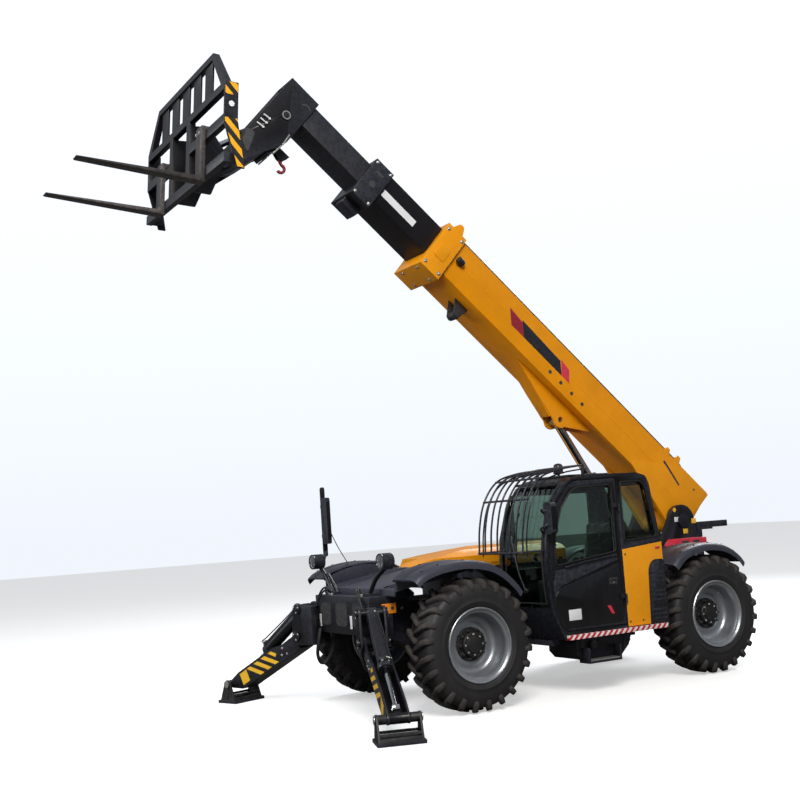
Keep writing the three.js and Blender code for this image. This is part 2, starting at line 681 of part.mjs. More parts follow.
function rearFender(side) {
  const { length, top, plate } = FENDER_BRACKET;
  const inside = FRAME_OUTSIDE + SEAT_GAP;
  const [x0, x1] = [AXLES.rear - length / 2, AXLES.rear + length / 2];
  return join(
    fender(REAR_FENDER, AXLES.rear, side),
    block(x0, x1, side * inside, side * (FENDER.inner + 40), top - plate, top),
    block(x0, x1, side * inside, side * (inside + 24), FRAME_TOP + 20, top),
  );
}

// The chock lies on the bracket that carries the left rear fender.
function wheelChock() {
  const base = FENDER_BRACKET.top + SEAT_GAP;
  const { length, height, nose } = CHOCK;
  const rear = AXLES.rear - 370;
  const side = [
    [rear + length, base],
    [rear + length - 20, base + nose],
    [rear + length - 70, base + height],
    [rear, base + height],
    [rear, base],
  ];
  return plateXZ(side, CHOCK.y, CHOCK.y + CHOCK.width);
}

// ---- stabilizers ----
// The frame of one leg: +X outwards along the leg, +Y along its hinge pins, +Z up, from its root pin.
function legFrame(side) {
  const frame = new THREE.Group();
  frame.position.set(LEG.x, side * LEG.y, LEG.z);
  frame.rotation.z = side * radians(90 - LEG.splay);
  frame.updateMatrix();
  return frame;
}
const LEG_ANGLE = (Math.atan2(LEG.drop, LEG.reach) * 180) / Math.PI; // below level
const LEG_LENGTH = Math.hypot(LEG.drop, LEG.reach);
const LEG_OUTSIDE = LEG_SECTION.inside + LEG_SECTION.plate;
const EAR_INSIDE = LEG_OUTSIDE + EAR.gap;
const EAR_OUTSIDE = EAR_INSIDE + EAR.plate;

// Where the rod's eye is in the leg's frame, and the line from the barrel's pin to it.
const LEG_EYE = (() => {
  const tilt = radians(-LEG_ANGLE);
  const u = LEG_CYLINDER.eyeAlong * Math.cos(tilt) - LEG_CYLINDER.eyeRise * Math.sin(tilt);
  const w = LEG_CYLINDER.eyeAlong * Math.sin(tilt) + LEG_CYLINDER.eyeRise * Math.cos(tilt);
  const du = u - LEG_CYLINDER.u;
  const dw = w - LEG_CYLINDER.w;
  return { length: Math.hypot(du, dw), angle: (Math.atan2(dw, du) * 180) / Math.PI };
})();

function stabilizerBeam() {
  const box = block(BEAM.rear, BEAM.front, -BEAM.halfWidth, BEAM.halfWidth, BEAM.bottom, BEAM.top);
  const ends = Object.values(SIDES).map((side) => {
    const outline = [
      [-225, -90],
      [20, -90],
      ...arc(0, 0, 74, -60, 20, 4),
      ...arc(LEG_CYLINDER.u, LEG_CYLINDER.w, 62, 10, 120, 6),
      [-225, 300],
    ];
    const root = plateXZ([[-225, -90], [-112, -90], [-112, 300], [-225, 300]], -EAR_OUTSIDE, EAR_OUTSIDE);
    const pins = [
      barY(LEG_PIN_RADIUS, -EAR_OUTSIDE - 14, EAR_OUTSIDE + 14, 0, 0, PIN_SIDES),
      barY(LEG_PIN_RADIUS, -EAR_OUTSIDE - 14, EAR_OUTSIDE + 14, LEG_CYLINDER.u, LEG_CYLINDER.w, PIN_SIDES),
    ];
    const ears = [plateXZ(outline, EAR_INSIDE, EAR_OUTSIDE), plateXZ(outline, -EAR_OUTSIDE, -EAR_INSIDE)];
    return join(root, pins, ears).applyMatrix4(legFrame(side).matrix);
  });
  return join(box, ends);
}

function stabilizerLeg() {
  const plate = [
    ...arc(0, 0, 62, 90, 240, 8),
    [150, -LEG_SECTION.under],
    [LEG_LENGTH - 110, -LEG_SECTION.under],
    ...arc(LEG_LENGTH, 0, 50, -70, 90, 8),
    [LEG_LENGTH - 130, LEG_SECTION.over],
    [440, LEG_SECTION.over],
    [300, 36],
    [90, 40],
  ];
  const bottom = block(60, LEG_LENGTH - 115, -LEG_OUTSIDE, LEG_OUTSIDE, -LEG_SECTION.under, 18 - LEG_SECTION.under);
  return cut(
    join(
      plateXZ(plate, LEG_SECTION.inside, LEG_OUTSIDE),
      plateXZ(plate, -LEG_OUTSIDE, -LEG_SECTION.inside),
      bottom,
      barY(56, -LEG_OUTSIDE, LEG_OUTSIDE, 0, 0, PIN_SIDES),
      barY(46, -LEG_OUTSIDE, LEG_OUTSIDE, LEG_LENGTH, 0, PIN_SIDES),
    ),
    barY(LEG_PIN_RADIUS + PIN_GAP, -200, 200, 0, 0, PIN_SIDES),
    barY(LEG_PIN_RADIUS + PIN_GAP - 4, -200, 200, LEG_LENGTH, 0, PIN_SIDES),
  );
}

// A cylinder's barrel along +X from its pin at the origin, bored for its rod.
function barrel({ barrel: radius, rod: rodRadius, eye, width, closed }, pin, boreFrom) {
  return cut(
    join(
      barX(radius, eye * 0.6, closed, 0, 0, 24),
      barX(radius + 7, closed - 60, closed, 0, 0, 24),
      barY(eye, -width / 2, width / 2, 0, 0, PIN_SIDES),
    ),
    barX(rodRadius + PIN_GAP, boreFrom, closed + 10, 0, 0, 24),
    barY(pin + PIN_GAP, -width, width, 0, 0, PIN_SIDES),
  );
}

// Its rod, from its inner end to the eye at the given distance from the barrel's pin.
function pistonRod({ rod: radius, rodEye: eye, width }, inner, reach, pin) {
  return cut(
    join(barX(radius, inner, reach - eye * 0.5, 0, 0, 24), barY(eye, -width / 2, width / 2, reach, 0, 24)),
    barY(pin, -width, width, reach, 0, 16),
  );
}

function stabilizerFoot() {
  const inside = FOOT.cheek;
  const outline = [
    [-122, 10 - FOOT.pinHeight],
    [122, 10 - FOOT.pinHeight],
    ...arc(0, 0, 46, 20, 160, 6),
  ];
  return join(
    block(-FOOT.width / 2, FOOT.width / 2, -FOOT.length / 2, FOOT.length / 2, -FOOT.pinHeight, FOOT.plate - FOOT.pinHeight),
    plateXZ(outline, inside, inside + 18),
    plateXZ(outline, -inside - 18, -inside),
    barY(LEG_PIN_RADIUS - 4, -inside - 26, inside + 26, 0, 0, PIN_SIDES),
    barY(42, LEG_OUTSIDE + RUN_GAP, inside + 4, 0, 0, PIN_SIDES),
    barY(42, -inside - 4, -LEG_OUTSIDE - RUN_GAP, 0, 0, PIN_SIDES),
    block(-116, -100, -inside - 4, inside + 4, -FOOT.pinHeight + 8, 62 - FOOT.pinHeight),
    block(100, 116, -inside - 4, inside + 4, -FOOT.pinHeight + 8, 62 - FOOT.pinHeight),
  );
}

function addStabilizers() {
  add("stabilizer_beam", stabilizerBeam(), "black");
  for (const [hand, side] of Object.entries(SIDES)) {
    const frame = legFrame(side);
    root.add(frame);
    add(`stabilizer_leg_${hand}`, stabilizerLeg(), "black", tilted(0, 0, -LEG_ANGLE, frame));
    const along = tilted(LEG_CYLINDER.u, LEG_CYLINDER.w, LEG_EYE.angle, frame);
    const size = { ...LEG_CYLINDER, width: 84 };
    add(`stabilizer_barrel_${hand}`, barrel(size, LEG_PIN_RADIUS, 110), "black", along);
    add(`stabilizer_rod_${hand}`, pistonRod({ ...size, width: 60 }, 520, LEG_EYE.length, 20), "chrome", along);
    const foot = new THREE.Group();
    foot.position.set(LEG.reach, 0, -LEG.drop);
    frame.add(foot);
    add(`stabilizer_foot_${hand}`, stabilizerFoot(), "black", foot);
  }
}

// ---- lamps and mirror at the front ----
function lampStalk(side) {
  const { x, foot, y, z, radius, tube } = LAMP;
  return join(
    block(x - 50, x + 50, side * foot - 50, side * foot + 50, BEAM.top + SEAT_GAP, BEAM.top + 26),
    rod([[x, side * foot, BEAM.top + 20], [x - 10, side * (foot + 110), 1290], [x - 30, side * (y - 10), z - 50]], tube, 8),
    barX(radius, x - 70, x + 42, side * y, z, 20),
  );
}

const headlampLeft = () => lampStalk(1);

// The right headlamp shares its foot with the tall mirror's bent tube.
function headlampRight() {
  const x = LAMP.x - 70;
  const y = -LAMP.foot;
  const bend = [[x, y, BEAM.top + 12], [x + 40, y - 90, 1300], [x - 20, y - 420, 1400]];
  const post = [[MIRROR.x, MIRROR.y, 1500], [MIRROR.x, MIRROR.y, MIRROR.top]];
  return join(
    lampStalk(-1),
    block(x - 30, x + 30, y - 30, y + 30, BEAM.top + SEAT_GAP, BEAM.top + 20),
    rod([...bend, ...post], MIRROR.tube, 8),
    block(MIRROR.x - 19, MIRROR.x + 19, MIRROR.y + 8, MIRROR.y + 128, 1640, 2130),
  );
}

// ---- boom ----
const boom = tilted(BOOM_PIVOT.x, BOOM_PIVOT.z, BOOM_ANGLE);
const boomPoint = (s, n) => {
  const angle = radians(BOOM_ANGLE);
  return [
    BOOM_PIVOT.x + s * Math.cos(angle) - n * Math.sin(angle),
    BOOM_PIVOT.z + s * Math.sin(angle) + n * Math.cos(angle),
  ];
};
const OUTER_END = OUTER.front + COLLAR.length;
const SECOND_END = OUTER_END + SECOND_EXTENSION + SECOND_COLLAR.length;
const THIRD_END = SECOND_END + THIRD_EXTENSION;
const OUTER_UNDER = BOOM_AXIS_RISE - OUTER.height / 2;

// A box round the boom's middle line.
function boomBox(s0, s1, width, height, rise = 0) {
  const middle = BOOM_AXIS_RISE + rise;
  return block(s0, s1, -width / 2, width / 2, middle - height / 2, middle + height / 2);
}

function boomOuter() {
  const { width, height, wallSide, wallTop, rear, front } = OUTER;
  const top = BOOM_AXIS_RISE + height / 2;
  const collarTop = top + COLLAR.over;
  const collarHeight = height + COLLAR.over + COLLAR.under;
  const collarRise = (COLLAR.over - COLLAR.under) / 2;
  const cheek = [
    [rear, top - 12],
    [rear + 30, 330],
    ...arc(0, 0, 128, 150, 270, 6),
    [260, -60],
    [900, OUTER_UNDER],
    [900, OUTER_UNDER + 60],
    [300, top - 12],
  ];
  const liftEar = [
    [LIFT_EYE.s - 420, OUTER_UNDER + 10],
    ...arc(LIFT_EYE.s, LIFT_EYE.n, 92, 200, 320, 6),
    [LIFT_EYE.s + 435, OUTER_UNDER - 130],
    [LIFT_EYE.s + 905, OUTER_UNDER + 10],
  ];
  const liftFace = [
    [LIFT_EYE.s + 130, OUTER_UNDER - 222],
    [LIFT_EYE.s + 435, OUTER_UNDER - 130],
    [LIFT_EYE.s + 905, OUTER_UNDER + 10],
    [LIFT_EYE.s + 850, OUTER_UNDER + 10],
    [LIFT_EYE.s + 435, OUTER_UNDER - 114],
    [LIFT_EYE.s + 130, OUTER_UNDER - 206],
  ];
  const inside = FRAME_INSIDE - RUN_GAP * 3;
  const earInside = LIFT_CYLINDER.width / 2 + RUN_GAP;
  const ear = [
    [front + 60, collarTop - 8],
    [front + 82, collarTop + 50],
    ...arc(front + 130, collarTop + 50, 46, 150, 10, 5),
    [front + 210, collarTop - 8],
  ];
  const shell = join(
    boomBox(rear + 20, OUTER_END - 20, width, height),
    boomBox(front, OUTER_END, width + 2 * COLLAR.side, collarHeight, collarRise),
    plateXZ(cheek, -inside, -inside + 60),
    plateXZ(cheek, inside - 60, inside),
    block(-60, 60, -inside, inside, -60, 60),
    barY(128, -inside, inside, 0, 0, PIN_SIDES),
    plateXZ(liftEar, earInside, earInside + 26),
    plateXZ(liftEar, -earInside - 26, -earInside),
    plateXZ(liftFace, -earInside - 10, earInside + 10),
    plateXZ(ear, width / 2 + COLLAR.side - 22, width / 2 + COLLAR.side),
    plateXZ(ear, -width / 2 - COLLAR.side, 22 - width / 2 - COLLAR.side),
  );
  return cut(
    shell,
    boomBox(260, front, width - 2 * wallSide, height - 2 * wallTop),
    boomBox(front - 10, OUTER_END + 10, SECOND.width + 2 * PAD_GAP, SECOND.height + 2 * PAD_GAP),
    barY(BOOM_PIN_RADIUS + PIN_GAP, -400, 400, 0, 0, PIN_SIDES),
    barY(34, -200, 200, LIFT_EYE.s, LIFT_EYE.n, 20),
  );
}

function boomSecond() {
  const { width, height, wallSide, wallTop, length } = SECOND;
  const start = SECOND_END - length;
  const collar = SECOND_END - SECOND_COLLAR.length;
  const tall = height + SECOND_COLLAR.over + SECOND_COLLAR.under;
  const rise = (SECOND_COLLAR.over - SECOND_COLLAR.under) / 2;
  const guide = OUTER.width - 2 * OUTER.wallSide - 2 * PAD_GAP;
  const guideTall = OUTER.height - 2 * OUTER.wallTop - 2 * PAD_GAP;
  return cut(
    join(
      boomBox(start, SECOND_END - 10, width, height),
      boomBox(start, start + 240, guide, guideTall),
      boomBox(collar, SECOND_END, width + 2 * SECOND_COLLAR.side, tall, rise),
      block(collar + 20, SECOND_END - 20, -70, 70, rise + BOOM_AXIS_RISE - tall / 2 - 70, BOOM_AXIS_RISE - height / 2 + 4),
    ),
    boomBox(start - 10, collar, width - 2 * wallSide, height - 2 * wallTop),
    boomBox(collar - 10, SECOND_END + 10, THIRD.width + 2 * PAD_GAP, THIRD.height + 2 * PAD_GAP),
  );
}

function boomThird() {
  const { width, height, wallSide, wallTop, length } = THIRD;
  const start = THIRD_END - length;
  const guide = SECOND.width - 2 * SECOND.wallSide - 2 * PAD_GAP;
  const guideTall = SECOND.height - 2 * SECOND.wallTop - 2 * PAD_GAP;
  return cut(
    join(
      boomBox(start, THIRD_END - SEAT_GAP, width, height),
      boomBox(start, start + 220, guide, guideTall),
    ),
    boomBox(start - 10, THIRD_END - 40, width - 2 * wallSide, height - 2 * wallTop),
  );
}

// The goose-neck: a box on the third section that drops to the carriage pivot.
const HEAD_FRONT = THIRD_END + HEAD.length;
const TILT_PIVOT = { s: HEAD_FRONT - HEAD.pinBack, n: BOOM_AXIS_RISE - HEAD.pinDrop };
function boomHead() {
  const s0 = THIRD_END;
  const s1 = HEAD_FRONT;
  const top = BOOM_AXIS_RISE + THIRD.height / 2 + HEAD.over;
  const { s, n } = TILT_PIVOT;
  const outline = [
    [s0, top],
    [s0, -60],
    [s0 + 20, -160],
    [s0 + 100, -310],
    [s0 + 150, -520],
    ...arc(s, n, HEAD_END_RADIUS, 190, 360, 9),
    [s1 + 30, -560],
    [s1, -330],
    [s1, top],
  ];
  const half = HEAD.width / 2;
  const slot = half - HEAD.cheek;
  const hookEar = [
    [HOOK.s - 60, -78],
    [HOOK.s - 26, HOOK.n - 24],
    [HOOK.s + 26, HOOK.n - 24],
    [HOOK.s + 120, -140],
    [HOOK.s + 120, -78],
  ];
  const hookGap = HOOK.thickness / 2 + 5;
  const web = [
    [s0 + 100, -300],
    [s0 + 150, -520],
    [s - 110, -690],
    [s - 80, -690],
    [s0 + 184, -500],
    [s0 + 134, -300],
  ];
  return join(
    cut(
      plateXZ(outline, -half, half),
      block(s0 + 60, s1 + 300, -slot, slot, n - 300, top - 34),
      barY(TILT_PIN_RADIUS + PIN_GAP, -400, 400, s, n, PIN_SIDES),
    ),
    block(s0 + 50, s0 + 84, -slot - 5, slot + 5, -300, 420),
    plateXZ(web, -slot - 5, slot + 5),
    barY(TILT_PIN_RADIUS, -half - 14, half + 14, TILT_BASE.s, TILT_BASE.n, PIN_SIDES),
    plateXZ(hookEar, hookGap, hookGap + 16),
    plateXZ(hookEar, -hookGap - 16, -hookGap),
    block(HOOK.s + 60, s0 + 80, -hookGap - 16, hookGap + 16, -134, -84),
    barY(HOOK.pin, -hookGap - 16, hookGap + 16, HOOK.s, HOOK.n, 16),
  );
}

// The lifting hook hangs plumb from its ear, with its origin at its pin.
function liftingHook() {
  const half = HOOK.thickness / 2;
  const outline = [
    ...arc(0, 0, 24, 0, 180, 8),
    [-13, -52],
    ...arc(0, -106, 54, 110, 330, 10).map(([x, z]) => [x, z]),
    ...arc(0, -106, 27, 330, 110, 8),
    [13, -52],
  ];
  return cut(plateXZ(outline, -half, half), barY(HOOK.pin + PIN_GAP, -50, 50, 0, 0, 16));
}

// ---- carriage and forks ----
// From here X is along the fork blades and Z square to them, from the carriage pivot.
function forkCarriage() {
  const { halfWidth, plane, depth, bottom, postBottom, post, top } = CARRIAGE;
  const bar = (y0, y1, z0, z1) => block(plane, plane + depth, y0, y1, z0, z1);
  const slope = (side) => {
    const outline = [
      [side * halfWidth, post - 60],
      [side * halfWidth, post],
      [side * BACKREST_HALF_WIDTH, top],
      [side * (BACKREST_HALF_WIDTH - 66), top],
      [side * (halfWidth - 66), post - 60],
    ];
    return plateYZ(side > 0 ? outline : outline.reverse(), plane, plane + depth);
  };
  const pitch = (2 * BACKREST_HALF_WIDTH) / BACKREST_BARS;
  const slats = Array.from({ length: BACKREST_BARS }, (_, i) => {
    const y = -BACKREST_HALF_WIDTH + pitch * (i + 0.5);
    const half = BACKREST_SLAT.width / 2;
    return block(plane + 22, plane + 22 + BACKREST_SLAT.thickness, y - half, y + half, post - 30, top - 10);
  });
  const posts = Object.values(SIDES).map((s) => {
    const y = [s * (halfWidth - 24), s * halfWidth].sort((a, b) => a - b);
    return plateXZ(
      [[plane - 68, post], [plane - 68, 60], [plane - 140, postBottom], [plane - 65, postBottom], [plane + depth, 40], [plane + depth, post]],
      ...y,
    );
  });
  const links = Object.values(SIDES).map((s) => {
    const y = [s * (halfWidth - 50), s * (halfWidth - 20)].sort((a, b) => a - b);
    return plateXZ([[plane - 120, bottom], [plane + depth, bottom], [plane + depth, bottom + 90], [plane - 95, bottom + 90]], ...y);
  });
  const { inside, plate } = COUPLER;
  const cheek = [
    ...arc(0, 0, 92, 150, 290, 8),
    [120, bottom + 20],
    [plane + 10, bottom + 20],
    [plane + 10, 330],
    [150, 350],
    [-20, 120],
  ];
  const cheeks = [plateXZ(cheek, inside, inside + plate), plateXZ(cheek, -inside - plate, -inside)];
  const uprights = Object.values(SIDES).map((s) => {
    const y = [s * inside, s * (inside + 90)].sort((a, b) => a - b);
    return bar(...y, bottom, post);
  });
  const frame = join(
    bar(-halfWidth, halfWidth, post - 70, post),
    bar(-BACKREST_HALF_WIDTH, BACKREST_HALF_WIDTH, top - 60, top),
    bar(-halfWidth, -inside - SIDE_SHIFT, 20, 110),
    bar(inside - SIDE_SHIFT, halfWidth, 20, 110),
    bar(-halfWidth, halfWidth, bottom, bottom + 90),
    slope(1),
    slope(-1),
    slats,
    posts,
    links,
  );
  return join(
    frame.translate(0, SIDE_SHIFT, 0),
    cheeks,
    uprights,
    barY(TILT_PIN_RADIUS, -inside - plate - 16, inside + plate + 16, 0, 0, PIN_SIDES),
  );
}

function fork() {
  const back = CARRIAGE.plane + CARRIAGE.depth + SEAT_GAP;
  const heel = CARRIAGE.bottom;
  const { length, width, thickness, tipLength } = FORK;
  const tip = back + length;
  const outline = [
    [back, 150],
    [back, heel - thickness],
    [tip - 20, heel - 14],
    [tip, heel - 6],
    [tip - tipLength, heel],
    [back + thickness + 30, heel],
    [back + thickness, heel + 30],
    [back + thickness, 130],
    [back + thickness - 14, 150],
  ];
  return plateXZ(outline, -width / 2, width / 2);
}

function addBoom() {
  add("boom_outer", boomOuter(), "yellow", boom);
  add("boom_second", boomSecond(), "black", boom);
  add("boom_third", boomThird(), "black", boom);
  add("boom_head", boomHead(), "black", boom);

  const [hx, hz] = boomPoint(HOOK.s, HOOK.n);
  add("lifting_hook", liftingHook(), "red", tilted(hx, hz, 0));

  const [cx, cz] = boomPoint(TILT_PIVOT.s, TILT_PIVOT.n);
  const carriage = tilted(cx, cz, CARRIAGE_PITCH);
  add("fork_carriage", forkCarriage(), "black", carriage);
  for (const [hand, side] of Object.entries(SIDES)) {
    add(`fork_${hand}`, fork().translate(0, side * FORK.spread + SIDE_SHIFT, 0), "black", carriage);
  }

  const [bx, bz] = boomPoint(TILT_BASE.s, TILT_BASE.n);
  const ex = cx + TILT_EYE.radius * Math.cos(radians(TILT_EYE.angle));
  const ez = cz + TILT_EYE.radius * Math.sin(radians(TILT_EYE.angle));
  addCylinder("tilt", TILT_CYLINDER, TILT_PIN_RADIUS, [bx, bz], [ex, ez], 90, 285);

  const [lx, lz] = boomPoint(LIFT_EYE.s, LIFT_EYE.n);
  addCylinder("lift", LIFT_CYLINDER, BOOM_PIN_RADIUS, [LIFT_BASE.x, LIFT_BASE.z], [lx, lz], 430, 960);
}

// A cylinder from its barrel's pin to its rod's eye.
function addCylinder(name, size, pin, [x0, z0], [x1, z1], boreFrom, inner) {
  const angle = (Math.atan2(z1 - z0, x1 - x0) * 180) / Math.PI;
  const along = tilted(x0, z0, angle);
  add(`${name}_cylinder_barrel`, barrel(size, pin, boreFrom), "black", along);
  add(`${name}_cylinder_rod`, pistonRod(size, inner, Math.hypot(x1 - x0, z1 - z0), size.rodEye * 0.5), "chrome", along);
}

// ---- the whole machine ----
add("chassis_frame", chassisFrame(), "black");
addWheels();
add("cab_shell", cabShell(), "black");
add("windscreen", windscreen(), "glass");
add("cab_door", cabDoor(), "black");
add("cab_guard", cabGuard(), "black");
add("driver_seat", driverSeat(), "seat");
add("control_console", controlConsole(), "plastic");
add("side_panel", plateXZ(SIDE_PANEL, CAB.outer - DOOR_THICKNESS, CAB.outer), "yellow");
add("step_and_tank", stepAndTank(), "black");
add("engine_bay", engineBay(), "black");
add("engine_hood", engineHood(), "yellow");
add("engine_block", engineBlock(), "cast");
add("front_deck", frontDeck(), "plastic");
add("rear_fender_left", rearFender(1), "plastic");
add("rear_fender_right", rearFender(-1), "plastic");
add("wheel_chock", wheelChock(), "red");
addStabilizers();
add("headlamp_left", headlampLeft(), "black");
add("headlamp_right_and_mirror", headlampRight(), "black");
addBoom();

// The origin goes to the middle of the bottom of the bounding box.
root.updateMatrixWorld(true);
const bounds = new THREE.Box3().setFromObject(root, true);
const middle = bounds.getCenter(new THREE.Vector3());
root.position.set(-middle.x, -middle.y, -bounds.min.z);
root.updateMatrixWorld(true);

export default root;
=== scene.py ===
"""The looks of a 4.5 tonne telehandler: paint, glass, tyres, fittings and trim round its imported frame."""
import json
import math

import bmesh
import bpy
from mathutils import Matrix, Vector
from mathutils.geometry import interpolate_bezier


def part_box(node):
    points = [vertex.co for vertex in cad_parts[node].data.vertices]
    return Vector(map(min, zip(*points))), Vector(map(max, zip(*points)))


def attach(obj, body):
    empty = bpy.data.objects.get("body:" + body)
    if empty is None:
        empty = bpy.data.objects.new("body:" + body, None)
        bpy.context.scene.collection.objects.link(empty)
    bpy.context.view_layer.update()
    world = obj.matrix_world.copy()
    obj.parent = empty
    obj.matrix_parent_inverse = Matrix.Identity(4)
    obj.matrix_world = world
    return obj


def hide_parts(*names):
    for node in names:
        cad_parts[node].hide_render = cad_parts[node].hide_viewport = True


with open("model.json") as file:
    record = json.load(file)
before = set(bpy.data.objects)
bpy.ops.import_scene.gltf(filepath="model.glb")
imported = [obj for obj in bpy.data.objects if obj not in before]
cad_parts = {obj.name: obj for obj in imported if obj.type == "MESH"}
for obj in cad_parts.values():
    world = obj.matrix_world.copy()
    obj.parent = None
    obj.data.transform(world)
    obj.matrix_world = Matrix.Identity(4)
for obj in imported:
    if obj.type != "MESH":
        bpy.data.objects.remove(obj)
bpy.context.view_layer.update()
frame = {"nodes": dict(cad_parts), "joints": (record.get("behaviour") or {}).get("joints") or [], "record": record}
joints = {joint["name"]: joint for joint in frame["joints"]}
body_of_node = {node: body for body, nodes in frame["record"]["behaviour"]["bodies"].items() for node in nodes}
slot_of_node = {row["node"]: row["material_slot"] for row in frame["record"]["subparts"]}
SIDES = {"left": 1, "right": -1}
ENDS = ("front", "rear")


# ---- places ----


def place(origin, x_axis=(1, 0, 0), z_axis=(0, 0, 1)):
    """A local frame at a point, with its X and Z axes; Y follows from them."""
    x = Vector(x_axis).normalized()
    z = (Vector(z_axis) - x * x.dot(Vector(z_axis))).normalized()
    matrix = Matrix((x, z.cross(x), z)).transposed().to_4x4()
    matrix.translation = Vector(origin)
    return matrix


def joint_at(name):
    return Vector(joints[name]["pos_m"])


def axis_of(name):
    return Vector(joints[name]["axis"]).normalized()


HUB_HEIGHT = joint_at("spin_front_left").z
MACHINE = place((joint_at("spin_front_left").x, 0, 0))  # on the ground under the front axle
REAR_AXLE = joint_at("spin_rear_left").x - joint_at("spin_front_left").x
BOOM = place(joint_at("boom_lift"), axis_of("boom_extend"))
TILT = joint_at("carriage_tilt")
FORK_NORMAL = Vector(next(m for m in frame["record"]["mounts"] if m["name"] == "fork_blade_left")["axis"])
CARRIAGE = place(TILT, (FORK_NORMAL.z, 0, -FORK_NORMAL.x), FORK_NORMAL)
IDENTITY = Matrix.Identity(4)


# ---- shader groups ----
def node(tree, kind, at=(0, 0), **values):
    made = tree.nodes.new(kind)
    made.location = at
    for key, value in values.items():
        setattr(made, key, value)
    return made


def put(made, **values):
    """Sets input values by socket name, with underscores for spaces."""
    for key, value in values.items():
        made.inputs[key.replace("_", " ")].default_value = value
    return made


def group(name, inputs, outputs):
    tree = bpy.data.node_groups.new(name, "ShaderNodeTree")
    for label, kind, default in inputs:
        socket = tree.interface.new_socket(label, in_out="INPUT", socket_type=kind)
        socket.default_value = default
    for label, kind in outputs:
        tree.interface.new_socket(label, in_out="OUTPUT", socket_type=kind)
    return tree, tree.nodes.new("NodeGroupInput"), tree.nodes.new("NodeGroupOutput")


COLOR, FLOAT, VECTOR = "NodeSocketColor", "NodeSocketFloat", "NodeSocketVector"
WHITE = (1, 1, 1, 1)


def remap(tree, value, low, high, to_low=0.0, to_high=1.0):
    made = node(tree, "ShaderNodeMapRange")
    tree.links.new(value, made.inputs["Value"])
    put(made, From_Min=low, From_Max=high, To_Min=to_low, To_Max=to_high)
    return made.outputs["Result"]


def multiply(tree, a, b):
    made = node(tree, "ShaderNodeMath", operation="MULTIPLY")
    for socket, value in zip(made.inputs, (a, b)):
        if isinstance(value, (int, float)):
            socket.default_value = value
        else:
            tree.links.new(value, socket)
    return made.outputs[0]


def mix(tree, factor, a, b, blend="MIX"):
    made = node(tree, "ShaderNodeMix", data_type="RGBA", blend_type=blend)
    for socket, value in zip((made.inputs[0], made.inputs[6], made.inputs[7]), (factor, a, b)):
        if isinstance(value, (int, float, tuple)):
            socket.default_value = value
        else:
            tree.links.new(value, socket)
    return made.outputs[2]


def noise(tree, coordinates, scale, detail=4.0, roughness=0.6):
    made = put(node(tree, "ShaderNodeTexNoise"), Detail=detail, Roughness=roughness)
    if isinstance(scale, (int, float)):
        made.inputs["Scale"].default_value = scale
    else:
        tree.links.new(scale, made.inputs["Scale"])
    tree.links.new(coordinates, made.inputs["Vector"])
    return made.outputs["Fac"]


def surface_group():
    """Base colour with cloudy variation, a painted highlight on its edges, settled dust and a fine grain."""
    inputs = [
        ("Base", COLOR, WHITE),
        # The two inputs after Base set the painted edge highlight: its colour and how much of it is painted.
        ("Edge", COLOR, WHITE),
        ("Edge Wear", FLOAT, 0.3),
        ("Dust", COLOR, (0.32, 0.27, 0.21, 1)),
        ("Dust Amount", FLOAT, 0.15),
        ("Smooth", FLOAT, 0.3),
        ("Rough", FLOAT, 0.45),
        ("Grain Scale", FLOAT, 400.0),
        ("Grain Depth", FLOAT, 0.1),
    ]
    outputs = [("Color", COLOR), ("Roughness", FLOAT), ("Normal", VECTOR)]
    tree, enter, leave = group("settled_surface", inputs, outputs)
    links = tree.links
    coordinates = node(tree, "ShaderNodeTexCoord").outputs["Object"]
    geometry = node(tree, "ShaderNodeNewGeometry")
    cloud = noise(tree, coordinates, 3.2, 6.0)
    streak_map = put(node(tree, "ShaderNodeMapping"), Scale=(9.0, 9.0, 1.6))
    links.new(coordinates, streak_map.inputs["Vector"])
    streak = noise(tree, streak_map.outputs[0], 1.0, 5.0)
    shade = remap(tree, cloud, 0.3, 0.7, 0.9, 1.06)
    toned = mix(tree, 1.0, enter.outputs["Base"], shade, "MULTIPLY")
    # Painted highlight: pointy edges, broken up by noise, are mixed towards the lighter Edge colour to stand in for
    # light catching them.
    edges = remap(tree, geometry.outputs["Pointiness"], 0.515, 0.575)
    edge_highlight_mask = multiply(tree, edges, remap(tree, noise(tree, coordinates, 26.0), 0.35, 0.62, 0.35, 1.0))
    edge_highlighted = mix(tree, multiply(tree, edge_highlight_mask, enter.outputs["Edge Wear"]), toned, enter.outputs["Edge"])
    normal_parts = node(tree, "ShaderNodeSeparateXYZ")
    links.new(geometry.outputs["Normal"], normal_parts.inputs[0])
    upward = remap(tree, normal_parts.outputs["Z"], -0.2, 1.0, 0.25, 1.0)
    patches = remap(tree, streak, 0.42, 0.75)
    dusty = multiply(tree, multiply(tree, upward, patches), enter.outputs["Dust Amount"])
    links.new(mix(tree, dusty, edge_highlighted, enter.outputs["Dust"]), leave.inputs["Color"])
    rough = node(tree, "ShaderNodeMapRange")
    links.new(cloud, rough.inputs["Value"])
    put(rough, From_Min=0.3, From_Max=0.7)
    links.new(enter.outputs["Smooth"], rough.inputs["To Min"])
    links.new(enter.outputs["Rough"], rough.inputs["To Max"])
    settled = node(tree, "ShaderNodeMath", operation="ADD", use_clamp=True)
    links.new(rough.outputs[0], settled.inputs[0])
    links.new(multiply(tree, dusty, 0.5), settled.inputs[1])
    links.new(settled.outputs[0], leave.inputs["Roughness"])
    bump = put(node(tree, "ShaderNodeBump"), Distance=0.002)
    links.new(enter.outputs["Grain Depth"], bump.inputs["Strength"])
    links.new(noise(tree, coordinates, enter.outputs["Grain Scale"], 3.0), bump.inputs["Height"])
    links.new(bump.outputs[0], leave.inputs["Normal"])
    return tree


